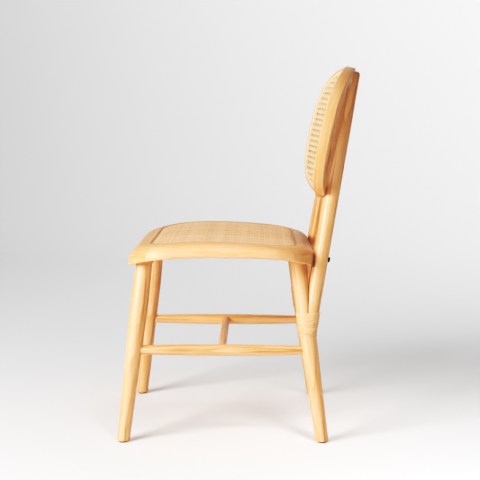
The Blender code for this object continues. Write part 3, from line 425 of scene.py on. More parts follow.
def rim_profile(station):
    """Rows of (distance in from the outer face, share of the thickness down from the top, extra height)."""
    to_groove = np.linalg.norm(groove_line(station) - rim_outer(station), axis=-1)
    width, edge = to_groove + LIP_WIDTH, RIM_EDGE_RADIUS
    near, far = to_groove - GROOVE_WIDTH / 2, to_groove + GROOVE_WIDTH / 2
    over_width = rim_blend(station, FRONT_ROUND_WIDTH, SIDE_ROUND_WIDTH, REAR_ROUND_WIDTH)
    over_share = rim_blend(station, FRONT_ROUND_SHARE, SIDE_ROUND_SHARE, REAR_ROUND_SHARE)
    under_share = rim_blend(station, END_UNDER_ROUND_SHARE, SIDE_UNDER_ROUND_SHARE, END_UNDER_ROUND_SHARE)
    under_width = under_share * RIM_THICKNESS * UNDER_ROUND_ASPECT
    rows = [(under_width * sine, 1 - under_share * cosine, 0) for sine, cosine in quarter_turn(UNDER_STEPS)]
    rows += [(over_width * cosine, over_share * sine, 0) for sine, cosine in quarter_turn(OVER_STEPS)]
    rows += [(near - RIM_SOFT_EDGE, 0, 0), (near, 0, -RIM_SOFT_EDGE), (near, 0, -GROOVE_DEPTH),
             (far, 0, -GROOVE_DEPTH), (far, 0, -LIP_STEP)]
    rows += [(width - edge * sine, 0, -LIP_STEP - edge * cosine) for sine, cosine in quarter_turn(ARC_STEPS)]
    rows += [(width - edge * cosine, 1, edge * sine) for sine, cosine in quarter_turn(ARC_STEPS)]
    return rows + [(width * share, 1, 0) for share in UNDER_FACE_SHARES]


def rim_piece(first, last, offset):
    """One bent piece between two joints: the rim's sections, drawn in at both ends for a fine chamfer."""
    fine = seat_stations()
    station = np.concatenate([[first, first], fine[(fine > first) & (fine < last)], [last, last]])
    shift = np.zeros(len(station))
    shift[[0, 1, -2, -1]] = GAP / 2, 3 * GAP, -3 * GAP, -GAP / 2
    outer = rim_outer(station)
    inward, onward = rim_directions(station)
    rings, grain = [], []
    for distance, share, extra in rim_profile(station):
        distance = np.broadcast_to(distance, station.shape)
        place = outer + inward * distance[:, None] + onward * shift[:, None]
        height = mix(rim_top(place[:, 1]), rim_under(place[:, 1]), share) + extra
        rings.append(stack(place[:, 0], place[:, 1], height))
        grain.append(stack(distance, height, run_length(outer) + shift))
    rings = np.stack(rings, axis=1)
    ends = rings[[0, -1]]
    rings[[0, -1]] = mix(ends.mean(axis=1, keepdims=True), ends, RIM_JOINT_END_SHARE)
    return rings, np.stack(grain, axis=1) + offset


def leg_pad(front, side, offset):
    """Round pad under the rim: a short upright cylinder with a soft lower edge."""
    x, y = leg_axis(front, side, LEG_TOP)
    top = mix(rim_under(y), rim_top(y), 0.3)
    heights = np.array([*(LEG_TOP + LEG_PAD_SOFT_EDGE * np.array([0, 0.3, 1])), mix(LEG_TOP, top, 0.5), top])
    radii = LEG_PAD_RADIUS - LEG_PAD_SOFT_EDGE * np.array([1, 0.3, 0, 0, 0])
    rings = level_rings(x, y, radii, heights)
    return rings, rings[..., [1, 2, 0]] + offset


def reed_section():
    """Offsets across and up of a groove reed: flat below, a half ellipse above."""
    turn = np.linspace(0, np.pi, 11)
    across = REED_WIDTH / 2 * np.concatenate([[1], np.cos(turn), [-1]])
    low = [GAP - GROOVE_DEPTH]
    return across, np.concatenate([low, REED_PROUD * np.sin(turn) ** 0.8, low])


def reed_grain(across, length):
    """Grain coordinates of a reed: one tone, the place across and the length."""
    return stack(0.25, across / REED_WIDTH * 4, length[:, None])


# Back hoop

def wrapped(turn):
    """Angles brought to between minus and plus half a turn."""
    return np.mod(turn + np.pi, 2 * np.pi) - np.pi


def hoop_outline(inset, turn):
    """Superellipse by angle, moved inwards square to its outer edge."""
    across, up = np.cos(turn), np.sin(turn)
    power = 2 / np.where(up > 0, HOOP_UPPER_POWER, HOOP_LOWER_POWER)
    x = HOOP_HALF_WIDTH * np.sign(across) * np.abs(across) ** power
    v = HOOP_HALF_HEIGHT * np.sign(up) * np.abs(up) ** power
    slope_x = np.sign(across) * np.abs(across) ** (2 - power) / HOOP_HALF_WIDTH
    slope_v = np.sign(up) * np.abs(up) ** (2 - power) / HOOP_HALF_HEIGHT
    steep = np.hypot(slope_x, slope_v)
    return x - inset * slope_x / steep, v - inset * slope_v / steep


def hoop_stations(steps):
    """Angles, from the middle of the lower rail all the way round, at equal steps of the outline's length."""
    dense = np.linspace(-np.pi / 2, 3 * np.pi / 2, 8001)
    length = run_length(stack(*hoop_outline(0, wrapped(dense))))
    along = np.linspace(0, length[-1], steps + 1)
    return np.interp(along, length, dense), along


def hoop_bow(x):
    """How far the bent hoop comes forward at a distance from its middle: the sagitta of a circle."""
    return HOOP_BEND_RADIUS - np.sqrt(HOOP_BEND_RADIUS ** 2 - x * x)


def screw_place(upper):
    """Lateral place and height where a post's axis crosses the middle of the band, by repeated steps."""
    inset, power = (UPPER_SCREW_INSET, HOOP_UPPER_POWER) if upper else (LOWER_SCREW_INSET, HOOP_LOWER_POWER)
    way = 1 if upper else -1
    height = HOOP_CENTRE_HEIGHT
    for _ in range(20):
        x = post_axis(1, height)[0]
        rest = 1 - (x / (HOOP_HALF_WIDTH - inset)) ** power
        reach = (HOOP_HALF_HEIGHT - inset) * rest ** (1 / power)
        height = HOOP_CENTRE_HEIGHT + way * reach * math.cos(HOOP_TILT)
    return x, height


def hoop_centre_y():
    """Y of the middle of the hoop's front face, from where its lower rail is let into the posts."""
    x, height = screw_place(False)
    rear_depth = (HOOP_DEPTH - hoop_bow(x)) / math.cos(HOOP_TILT)
    return (post_axis(1, height)[1] - POST_RADIUS + HOOP_LET_IN - rear_depth
            - HOOP_LEAN * (height - HOOP_CENTRE_HEIGHT))


def on_hoop(x, depth, v):
    """Points at a depth behind the hoop's bent and leaning front face."""
    y = depth - hoop_bow(x)
    return stack(x, hoop_centre_y() + y * math.cos(HOOP_TILT) + v * math.sin(HOOP_TILT),
                 HOOP_CENTRE_HEIGHT - y * math.sin(HOOP_TILT) + v * math.cos(HOOP_TILT))


def hoop_rear_y(x, height):
    """Y of the hoop's rear face at a place and height."""
    return (hoop_centre_y() + HOOP_LEAN * (height - HOOP_CENTRE_HEIGHT)
            + (HOOP_DEPTH - hoop_bow(x)) / math.cos(HOOP_TILT))


def hoop_bottom_height():
    """Height of the hoop's lower outer edge where it meets the posts."""
    x = screw_place(False)[0]
    reach = HOOP_HALF_HEIGHT * (1 - (x / HOOP_HALF_WIDTH) ** HOOP_LOWER_POWER) ** (1 / HOOP_LOWER_POWER)
    return float(on_hoop(x, HOOP_DEPTH, -reach)[2])


def hoop_profile():
    """Section of the band as (inset, depth) pairs: rounded edges, and a groove and a lip on the front."""
    edge, soft, band, rear = HOOP_EDGE_RADIUS, HOOP_SOFT_EDGE, HOOP_BAND_WIDTH, HOOP_REAR_EDGE_RADIUS
    near, far = HOOP_GROOVE_INSET - GROOVE_WIDTH / 2, HOOP_GROOVE_INSET + GROOVE_WIDTH / 2
    rows = [(edge * cosine, edge * sine) for sine, cosine in quarter_turn(ARC_STEPS + 2)]
    rows += [(near - soft, 0), (near, soft), (near, GROOVE_DEPTH), (far, GROOVE_DEPTH), (far, LIP_STEP),
             (band - soft, LIP_STEP), (band, LIP_STEP + soft)]
    edge = edge / 2
    rows += [(band - edge * cosine, HOOP_DEPTH - edge * sine) for sine, cosine in quarter_turn(ARC_STEPS)]
    rows += [(rear * sine, HOOP_DEPTH - rear * cosine) for sine, cosine in quarter_turn(ARC_STEPS)]
    return np.array(rows) + (GAP / 2, 0)


def hoop_rings(profile, offset=0):
    """Sections carried round the hoop from one side of the joint in its lower rail to the other."""
    turn, along = hoop_stations(HOOP_STEPS)
    joint = np.array([GAP / 2, -GAP / 2])
    along[[0, -1]] += joint
    turn[[0, -1]] += joint * (turn[1] - turn[0]) / (along[1] - along[0])
    inset, depth = profile.T
    x, v = hoop_outline(inset, wrapped(turn)[:, None])
    return on_hoop(x, depth, v), stack(inset, depth, along[:, None]) + offset


# Woven panels

def strand(path, normal, width, thickness, tone):
    """One flat strand: lens-shaped sections square to its path, with two edges and a crown on each face."""
    tangent = unit(np.gradient(path, axis=0))
    side = unit(np.cross(tangent, normal))
    lift = np.cross(side, tangent) * thickness / 2
    side = side * width / 2
    rings = np.stack([path + side, path + lift, path - side, path - lift], axis=1)
    return rings, stack(tone, (1.0, 0.0, -1.0, 0.0), run_length(path)[:, None] + tone * 7)


def corner_cut(past):
    """How far the seat's rounded corner draws in at a distance past its start: the radius less a chord."""
    return CANE_CORNER - np.sqrt(np.maximum(CANE_CORNER ** 2 - np.maximum(past, 0) ** 2, 0))


def seat_half_width(y):
    """Half of the woven seat's width at a distance back."""
    return CANE_HALF_WIDTH - corner_cut(np.maximum(CANE_FRONT - y, y - CANE_REAR) + CANE_CORNER)


def seat_reach(x):
    """Front and rear ends of the woven seat at a distance from its middle."""
    cut = corner_cut(np.abs(x) - CANE_HALF_WIDTH + CANE_CORNER)
    return CANE_FRONT + cut, CANE_REAR - cut


def dip(to_edge):
    """Share of a strand's fall into its groove, within a short reach of the edge."""
    return 1 - eased(to_edge / DIP_REACH)


def seat_path(x, y, wave):
    """Points of the woven seat, halfway down the lip's step, and the way up, square to the seat's slope."""
    front, rear = seat_reach(x)
    to_edge = np.minimum(np.minimum(y - front, rear - y), seat_half_width(y) - np.abs(x))
    slope = (rim_top(y + 0.001) - rim_top(y - 0.001)) / 0.002
    return stack(x, y, rim_top(y) - LIP_STEP / 2 - SEAT_DIP * dip(to_edge) + wave), unit(stack(0, -slope, 1))


def seat_strands(weave, along_x):
    """Strands of the close plain weave that run one way, each a cosine wave over and under the others."""
    pitch, width, thickness = weave.seat_pitch, weave.seat_strand_width, weave.seat_strand_thickness
    random = np.random.default_rng(SEED_ACROSS if along_x else SEED_ALONG)
    half = seat_half_width(0.0)
    low, high = seat_reach(0.0) if along_x else (-half, half)
    low, high = math.ceil(low / pitch), math.floor(high / pitch)
    drift = np.convolve(random.normal(0, 1, high - low + 9), np.ones(5) / 5, "same")
    strands = []
    for index in range(low, high + 1):
        place = index * pitch + random.normal(0, pitch * SEAT_STRAY_SHARE)
        half = seat_half_width(place)
        start, end = (-half, half) if along_x else seat_reach(place)
        if end - start < SHORTEST_RUN * pitch:
            continue
        first, last = math.ceil(start / (pitch / 2)), math.floor(end / (pitch / 2))
        steps = np.concatenate([[start], np.arange(first, last + 1) * pitch / 2, [end]])
        steps = steps[np.concatenate([[True], np.diff(steps) > pitch * SHORTEST_STEP])]
        wave = thickness * SEAT_WAVE * np.cos(np.pi * steps / pitch + np.pi * index)
        if along_x:
            path, up = seat_path(steps, np.full(len(steps), place), wave)
        else:
            path, up = seat_path(np.full(len(steps), place), steps, -wave)
        shade = 0.5 + SEAT_TONE_DRIFT * drift[index - low + 4]
        tone = np.clip(shade + random.normal(0, SEAT_TONE_SPREAD), 0, 1)
        strands.append(strand(path, up, width * random.uniform(*SEAT_WIDTH_SHARES), thickness, tone))
    return strands


def hoop_chords(direction, offsets):
    """Start and end along a direction of the lines across the hoop's panel at given offsets."""
    turn = hoop_stations(1440)[0][:-1]
    x, v = hoop_outline(HOOP_GROOVE_INSET + GROOVE_WIDTH / 4, wrapped(turn))
    along = x * direction[0] + v * direction[1]
    away = v * direction[0] - x * direction[1]
    chords = []
    for offset in offsets:
        gap = away - offset
        crossing = np.nonzero(gap * np.roll(gap, -1) <= 0)[0]
        after = (crossing + 1) % len(gap)
        share = gap[crossing] / (gap[crossing] - gap[after])
        at = mix(along[crossing], along[after], share)
        chords.append((at.min(), at.max()) if len(at) > 1 else (0, 0))
    return chords


def back_strand(weave, chord, direction, offset, wave, width, tone):
    """One strand of the open webbing, straight in the hoop's face and waving through its thickness."""
    along = np.linspace(*chord, max(int((chord[1] - chord[0]) / weave.back_pitch * 4), 8) + 1)
    x = along * direction[0] - offset * direction[1]
    v = along * direction[1] + offset * direction[0]
    depth = LIP_STEP / 2 - weave.back_strand_thickness * wave(x, v)
    depth += BACK_DIP * dip(np.minimum(along - chord[0], chord[1] - along))
    slope = x / np.sqrt(HOOP_BEND_RADIUS ** 2 - x * x)
    front = unit(stack(-slope, -math.cos(HOOP_TILT), math.sin(HOOP_TILT)))
    return strand(on_hoop(x, depth, v), front, width, weave.back_strand_thickness, tone)


def back_strands(weave):
    """Six-way webbing: pairs up and across, and two diagonals that cross between the pairs' crossings."""
    pitch, width = weave.back_pitch, weave.back_strand_width
    random = np.random.default_rng(SEED_BACK)
    turns = 2 * np.pi / pitch
    pair = (width * PAIR_SPREAD_SHARE, -width * PAIR_SPREAD_SHARE)
    half, slant = math.sqrt(0.5), HOOP_HALF_WIDTH + HOOP_HALF_HEIGHT
    runs = (((0.0, 1.0), pitch, pair, 0.0, HOOP_HALF_WIDTH,
             lambda x, v: PAIR_LEVEL + PAIR_WAVE * np.cos(turns * v)),
            ((1.0, 0.0), pitch, pair, 0.0, HOOP_HALF_HEIGHT,
             lambda x, v: -PAIR_LEVEL - PAIR_WAVE * np.cos(turns * x)),
            ((half, half), pitch * half, (0.0,), 0.5, slant, lambda x, v: SLANT_WAVE * np.cos(turns * x)),
            ((half, -half), pitch * half, (0.0,), 0.5, slant, lambda x, v: -SLANT_WAVE * np.cos(turns * x)))
    strands = []
    for direction, step, sides, phase, reach, wave in runs:
        count = int(reach / step) + 1
        offsets = [(index + phase) * step + side for index in range(-count, count + 1) for side in sides]
        for offset, chord in zip(offsets, hoop_chords(direction, offsets)):
            if chord[1] - chord[0] < pitch:
                continue
            tone = np.clip(random.normal(0.5, BACK_TONE_SPREAD), 0, 1)
            offset += random.normal(0, BACK_STRAY)
            strands.append(back_strand(weave, chord, direction, offset, wave,
                                       width * random.uniform(*BACK_WIDTH_SHARES), tone))
    return strands


# Bindings and small turned pieces

def binding(side, loops):
    """Strip with a domed outer face, wound up a helix round the leg in front and the post behind."""
    width = BINDING_PITCH * PEEL_WIDTH_SHARE
    low = SHOULDER_HEIGHT - BINDING_BELOW_SHOULDER + width / 2
    loop = np.arange(loops * LOOP_POINTS + 1)[:, None] / LOOP_POINTS
    random = np.random.default_rng(SEED_BINDING)
    wobble = np.interp(loop, np.arange(loops * 3 + 2) / 3, random.normal(0, PEEL_WOBBLE, loops * 3 + 2))
    flat = eased(loop - (loops - 3))
    dome = np.linspace(-1, 1, PEEL_POINTS)
    under = dome[1:-1][::-1] * PEEL_UNDER_SHARE
    across = np.append(dome, under)
    through = mix(np.append(mix(1, PEEL_EDGE_SHARE, dome ** 4), 0 * under),
                  np.append(0 * dome + PEEL_FLAT_SHARE, 0 * under), flat)
    climb = low + (BINDING_HEIGHT - width) / loops * loop + wobble
    height = climb + across * (width / 2 + PEEL_FLAT_SPREAD * flat)
    turn = 2 * np.pi * loop + np.pi / 2
    leg, post = leg_axis(False, side, height), post_axis(side, height)
    behind = (np.sin(turn) > 0) & (height > SHOULDER_HEIGHT)
    radius = np.maximum(POST_RADIUS, leg_radius(False, height)) + GAP / 2 + PEEL_THICKNESS * through
    rings = stack(np.where(behind, post[0], leg[0]) + radius * np.cos(turn),
                  np.where(behind, post[1], leg[1]) + radius * np.sin(turn), height)
    tone = PEEL_TONE + PEEL_TONE_CHANGE * np.sin(loop * PEEL_TONE_TURNS)
    return rings, stack(tone, across, 2 * np.pi * PEEL_GRAIN_RADIUS * loop)


def turned_small(profile, start, direction, recess=()):
    """Solid of revolution along a direction from (length, radius) rows; a recess's rows also have a number of
    lobes and their depth as a share of the radius, which then follows the lobes' cosine."""
    direction = unit(np.array(direction, float))
    side = unit(np.cross(direction, (0, 0.3, 1)))
    up = np.cross(side, direction)
    turn = circle_turns(SMALL_SIDES)
    rows = np.array([(*row, 0, 0)[:4] for row in (*recess, *profile)])
    length, radius, lobes, depth = rows.T[:, :, None]
    radius = radius * (1 - depth + depth * np.abs(np.cos(turn * lobes / 2)))
    spokes = side * (radius * np.cos(turn))[..., None] + up * (radius * np.sin(turn))[..., None]
    rings = np.array(start) + direction * length[..., None] + spokes
    return rings, rings


# Node helpers and shared effects

def fill(tree, node, values):
    """Give a node's inputs their values, or link the sockets that stand in their place."""
    for key, value in values.items():
        if isinstance(value, bpy.types.NodeSocket):
            tree.links.new(value, node.inputs[key])
        else:
            node.inputs[key].default_value = value


def add_node(tree, kind, values=None, **settings):
    """New node with its settings and inputs, set out in rows."""
    made = tree.nodes.new(kind)
    for key, value in settings.items():
        setattr(made, key, value)
    fill(tree, made, values or {})
    row, column = divmod(len(tree.nodes) - 1, 9)
    made.location = (220 * column, -320 * row)
    return made


def compute(tree, operation, *values, clamp=False):
    """Result of one Math node."""
    made = add_node(tree, "ShaderNodeMath", dict(enumerate(values)), operation=operation, use_clamp=clamp)
    return made.outputs[0]


def times(tree, first, second, clamp=False):
    """Product of two values."""
    return compute(tree, "MULTIPLY", first, second, clamp=clamp)


def total(tree, first, *values):
    """Sum of values."""
    for value in values:
        first = compute(tree, "ADD", first, value)
    return first


def blended(tree, share, first, second):
    """Colour at a share of the way from first to second."""
    values = {"Factor": share, 6: first, 7: second}
    return add_node(tree, "ShaderNodeMix", values, data_type="RGBA").outputs[2]


def noise(tree, vector, scale, detail=2.0, roughness=0.5):
    """Value of a noise at a vector whose parts are multiplied by a scale."""
    place = add_node(tree, "ShaderNodeVectorMath", {0: vector, 1: scale}, operation="MULTIPLY").outputs[0]
    return add_node(tree, "ShaderNodeTexNoise", {"Vector": place, "Scale": 1.0, "Detail": detail,
                                                 "Roughness": roughness}).outputs["Fac"]


def ranged(tree, value, low, high, start=0.0, end=1.0):
    """Value carried from one range to another and held inside it."""
    return add_node(tree, "ShaderNodeMapRange", {"Value": value, "From Min": low, "From Max": high,
                                                 "To Min": start, "To Max": end}).outputs["Result"]


def parts_of(tree, vector):
    """X, Y and Z of a vector."""
    return add_node(tree, "ShaderNodeSeparateXYZ", {0: vector}).outputs


def new_group(name, inputs):
    """Shader node group from a vector and named inputs to a colour, a roughness and a height."""
    tree = bpy.data.node_groups.new(name, "ShaderNodeTree")
    tree.interface.new_socket("Vector", in_out="INPUT", socket_type="NodeSocketVector")
    for label, default in inputs.items():
        kind = "NodeSocketFloat" if isinstance(default, float) else "NodeSocketColor"
        tree.interface.new_socket(label, in_out="INPUT", socket_type=kind).default_value = default
    tree.interface.new_socket("Color", in_out="OUTPUT", socket_type="NodeSocketColor")
    for label in ("Roughness", "Height"):
        tree.interface.new_socket(label, in_out="OUTPUT", socket_type="NodeSocketFloat")
    return tree, add_node(tree, "NodeGroupInput").outputs, add_node(tree, "NodeGroupOutput")


def wood_grain():
    """Group: growth rings round a far pith, long fibres, pores and slow changes of tone, along local Z."""
    if "wood_grain" in bpy.data.node_groups:
        return bpy.data.node_groups["wood_grain"]
    tree, source, result = new_group("wood_grain", {
        "Tone": 0.5, "Light": (0.8, 0.6, 0.35, 1), "Middle": (0.7, 0.45, 0.2, 1), "Dark": (0.5, 0.28, 0.1, 1),
        "Ring Spacing": 0.004, "Figure": 0.5, "Streaks": 0.5})
    vector = source["Vector"]
    place = parts_of(tree, vector)
    warp = noise(tree, vector, (34, 34, 5.5), 2)
    broad = noise(tree, vector, (9, 9, 1.8), 1)
    far = total(tree, place["X"], times(tree, warp, 0.010), times(tree, broad, 0.030), 0.045)
    through = times(tree, place["Y"], 0.55)
    distance = compute(tree, "SQRT", total(tree, times(tree, far, far), times(tree, through, through)))
    rings = compute(tree, "FRACT", compute(tree, "DIVIDE", distance, source["Ring Spacing"]))
    late = times(tree, compute(tree, "POWER", rings, 3.0), ranged(tree, rings, 0.93, 1.0, 1.0, 0.0))
    fibre = noise(tree, vector, (850, 850, 16), 3, 0.6)
    streak = ranged(tree, noise(tree, vector, (150, 150, 3.6), 2, 0.6), 0.46, 0.68)
    pores = ranged(tree, noise(tree, vector, (1500, 1500, 70), 1), 0.66, 0.74)
    slow = ranged(tree, noise(tree, vector, (22, 22, 7), 2), 0.35, 0.7, 0.0, 0.24)
    share = total(tree, times(tree, late, source["Figure"]), times(tree, streak, source["Streaks"]),
                  ranged(tree, fibre, 0.45, 0.75, 0.0, 0.26), slow,
                  times(tree, compute(tree, "SUBTRACT", source["Tone"], 0.5), 0.9))
    pale = blended(tree, times(tree, share, 2.0, clamp=True), source["Light"], source["Middle"])
    deep = compute(tree, "SUBTRACT", times(tree, share, 2.0), 1.0, clamp=True)
    colour = blended(tree, deep, pale, source["Dark"])
    hollow = total(tree, times(tree, pores, 0.8), times(tree, late, 0.3))
    fill(tree, result, {
        "Color": blended(tree, times(tree, pores, 0.35), colour, source["Dark"]),
        "Roughness": total(tree, ranged(tree, fibre, 0.3, 0.7, 0.37, 0.47), times(tree, pores, 0.15)),
        "Height": compute(tree, "SUBTRACT", ranged(tree, fibre, 0.3, 0.7, 0.0, 0.5), hollow)})
    return tree


def rattan_fibre():
    """Group: fine lines and darker patches along a strand, whose own tone is the vector's X."""
    if "rattan_fibre" in bpy.data.node_groups:
        return bpy.data.node_groups["rattan_fibre"]
    tree, source, result = new_group("rattan_fibre", {
        "Light": (0.85, 0.68, 0.42, 1), "Dark": (0.6, 0.36, 0.14, 1), "Contrast": 1.0})
    vector = source["Vector"]
    lines = noise(tree, vector, (40, 5.5, 22), 3, 0.6)
    patches = noise(tree, vector, (60, 0.6, 38), 2)
    tone = compute(tree, "SUBTRACT", parts_of(tree, vector)["X"], 0.45)
    share = total(tree, ranged(tree, lines, 0.38, 0.72, 0.0, 0.30),
                  ranged(tree, patches, 0.50, 0.75, 0.0, 0.45), times(tree, tone, 1.1))
    share = times(tree, share, source["Contrast"], clamp=True)
    fill(tree, result, {"Color": blended(tree, share, source["Light"], source["Dark"]),
                        "Roughness": ranged(tree, lines, 0.3, 0.7, 0.36, 0.56),
                        "Height": ranged(tree, lines, 0.3, 0.7)})
    return tree


# Finishes

def look_of(name, finish, *values):
    """Material made once: the finish fills in its tree and its shader from the values."""
    made = bpy.data.materials.get("look_" + name)
    if made is None:
        made = bpy.data.materials.new("look_" + name)
        made.use_nodes = True
        finish(made.node_tree, made.node_tree.nodes["Principled BSDF"], *values)
    return made


def attribute(tree, name, output):
    """Value that the mesh carries at each point."""
    return add_node(tree, "ShaderNodeAttribute", attribute_name=name).outputs[output]


def object_place(tree):
    """Object coordinates."""
    return add_node(tree, "ShaderNodeTexCoord").outputs["Object"]


def bump(tree, height, strength, distance):
    """Normal that follows a height."""
    values = {"Height": height, "Strength": strength, "Distance": distance}
    return add_node(tree, "ShaderNodeBump", values).outputs["Normal"]


def varnished_wood(tree, shader, light, middle, dark, spacing, figure, streaks, shine, from_object=False):
    """Satin varnished wood; a piece without grain values reads its own object coordinates."""
    grain = add_node(tree, "ShaderNodeGroup", {
        "Vector": object_place(tree) if from_object else attribute(tree, "grain", "Vector"),
        "Tone": 0.5 if from_object else attribute(tree, "tone", "Fac"),
        "Light": (*light, 1), "Middle": (*middle, 1), "Dark": (*dark, 1),
        "Ring Spacing": spacing, "Figure": figure, "Streaks": streaks}, node_tree=wood_grain()).outputs
    fill(tree, shader, {"Base Color": grain["Color"], "Roughness": grain["Roughness"],
                        "Specular IOR Level": shine, "Normal": bump(tree, grain["Height"], 0.20, 0.0002)})


def turned_look(context, name="turned_wood", from_object=False):
    """Finish of the turned legs, posts, rods and pegs."""
    wood = context.scene.chair_wood
    return look_of(name, varnished_wood, wood.turned_light, wood.turned_middle, wood.turned_dark,
                   wood.ring_spacing, wood.figure, wood.streaks, wood.turned_shine, from_object)


def bent_look(context):
    """Finish of the bent rim and hoop."""
    wood = context.scene.chair_wood
    return look_of("bent_wood", varnished_wood, wood.bent_light, wood.bent_middle, wood.bent_dark,
                   wood.ring_spacing * 0.8, wood.figure * 0.5, wood.streaks * 0.3, wood.bent_shine)


def rattan(tree, shader, light, dark, contrast, coat=0.0):
    """Rattan in strands, reed or peel."""
    fibre = add_node(tree, "ShaderNodeGroup", {
        "Vector": attribute(tree, "grain", "Vector"), "Light": (*light, 1), "Dark": (*dark, 1),
        "Contrast": contrast}, node_tree=rattan_fibre()).outputs
    fill(tree, shader, {"Base Color": fibre["Color"], "Roughness": fibre["Roughness"], "Coat Weight": coat,
                        "Coat Roughness": 0.3, "Normal": bump(tree, fibre["Height"], 0.35, 0.0002)})


def metal(tree, shader, colour, roughness, scratches):
    """Metal with fine scratches and dull spots, in object coordinates."""
    place = object_place(tree)
    lines = noise(tree, place, (2600, 400, 2600), 3, 0.6)
    spots = noise(tree, place, (420, 420, 420), 2)
    dull = tuple(value * 0.6 for value in colour)
    fill(tree, shader, {
        "Base Color": blended(tree, ranged(tree, spots, 0.5, 0.75), (*colour, 1), (*dull, 1)),
        "Roughness": ranged(tree, lines, 0.3, 0.7, roughness - 0.08, roughness + 0.12),
        "Metallic": 1.0, "Normal": bump(tree, lines, scratches, 0.00005)})


def plastic(tree, shader, colour):
    """Matt moulded plastic with a fine stipple, in object coordinates."""
    stipple = noise(tree, object_place(tree), (1800, 1800, 1800), 2)
    worn = tuple(value * 1.9 + 0.01 for value in colour)
    fill(tree, shader, {
        "Base Color": blended(tree, ranged(tree, stipple, 0.45, 0.8), (*colour, 1), (*worn, 1)),
        "Roughness": ranged(tree, stipple, 0.3, 0.7, 0.5, 0.7), "Normal": bump(tree, stipple, 0.2, 0.0001)})


def studio_paint(tree, shader, colour):
    """Matt pale paint with very faint clouds, in object coordinates."""
    cloud = ranged(tree, noise(tree, object_place(tree), (1.5, 1.5, 1.5), 2), 0.3, 0.7, 0, 0.04)
    fill(tree, shader, {"Base Color": blended(tree, cloud, (*colour, 1), (0.85, 0.85, 0.85, 1)),
                        "Roughness": 0.75})


def finish_node(node, look):
    """Give a node of the frame its finish."""
    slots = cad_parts[node].data.materials
    slots.clear()
    slots.append(look)


# Settings

def tint(name, description, default):
    """Setting for a colour."""
    return FloatVectorProperty(name=name, description=description, subtype="COLOR", default=default,
                               min=0, max=1)


def extent(name, description, default, low, high):
    """Setting for a length."""
    return FloatProperty(name=name, description=description, subtype="DISTANCE", unit="LENGTH",
                         default=default, min=low, max=high)


def amount(name, description, default, high=1):
    """Setting for a share from none upwards."""
    return FloatProperty(name=name, description=description, subtype="FACTOR", default=default,
                         min=0, max=high)


def watts(name, description, default):
    """Setting for the power of a light."""
    return FloatProperty(name=name, description=description, unit="POWER", default=default, min=0)


class ChairWoodSettings(bpy.types.PropertyGroup):
    """Colours and grain of the wood."""
    turned_light: tint("Turned Light", "Palest colour of the turned wood", (0.82, 0.475, 0.262))
    turned_middle: tint("Turned Middle", "Usual colour of the turned wood", (0.70, 0.358, 0.158))
    turned_dark: tint("Turned Dark", "Colour of the turned wood's darkest grain", (0.45, 0.190, 0.064))
    bent_light: tint("Bent Light", "Palest colour of the bent rim and hoop", (0.83, 0.485, 0.275))
    bent_middle: tint("Bent Middle", "Usual colour of the bent rim and hoop", (0.71, 0.366, 0.166))
    bent_dark: tint("Bent Dark", "Colour of the bent wood's darkest grain", (0.44, 0.188, 0.064))
    ring_spacing: extent("Ring Spacing", "Distance between growth rings", 0.0052, 0.001, 0.05)
    figure: amount("Figure", "Strength of the growth rings' dark edges", 0.55)
    streaks: amount("Streaks", "Strength of the long darker streaks", 0.48)
    turned_shine: amount("Turned Shine", "Strength of reflections on the turned wood", 0.85)
    bent_shine: amount("Bent Shine", "Strength of reflections on the bent wood", 0.25)


class ChairWeaveSettings(bpy.types.PropertyGroup):
    """Sizes and colours of the woven panels, reeds and bindings."""
    seat_pitch: extent("Seat Pitch", "Distance between strands of the close seat weave", 0.0036, 0.002, 0.02)
    seat_strand_width: extent("Seat Strand Width", "Width of a strand in the seat", 0.0033, 0.001, 0.02)
    seat_strand_thickness: extent("Seat Strand Thickness", "Thickness of a strand in the seat",
                                  0.0007, 0.0002, 0.003)
    back_pitch: extent("Back Pitch", "Distance between the holes of the open webbing", 0.0136, 0.006, 0.05)
    back_strand_width: extent("Back Strand Width", "Width of a strand in the back", 0.0033, 0.001, 0.01)
    back_strand_thickness: extent("Back Strand Thickness", "Thickness of a strand in the back",
                                  0.0008, 0.0002, 0.002)
    cane_light: tint("Cane Light", "Palest colour of the woven seat", (0.91, 0.59, 0.37))
    cane_dark: tint("Cane Dark", "Darkest colour of the woven seat", (0.62, 0.31, 0.14))
    # The webbing's colours are paler than the seat cane's, and are also brightened as painted light: they
    # stand in for the key light that falls full on the back's front.
    webbing_pale_painted_light: tint("Webbing Light", "Palest colour of the back's open webbing", (0.97, 0.74, 0.48))
    webbing_dark_painted_light: tint("Webbing Dark", "Darkest colour of the back's open webbing", (0.72, 0.44, 0.22))
    peel_light: tint("Peel Light", "Palest colour of the bindings' rattan peel", (0.84, 0.51, 0.28))
    peel_dark: tint("Peel Dark", "Darkest colour of the bindings' rattan peel", (0.48, 0.23, 0.08))
    # The seat reed's colours are darkened as painted shade: the reed's dark line stands in for the shade in
    # the groove at the woven panel's edge.
    reed_pale_painted_shade: tint("Reed Light", "Palest colour of the reed round the seat", (0.56, 0.29, 0.12))
    reed_dark_painted_shade: tint("Reed Dark", "Darkest colour of the reed round the seat", (0.30, 0.13, 0.045))
    binding_loops: IntProperty(name="Binding Loops", description="Turns of peel in each binding",
                               default=10, min=4, max=24)


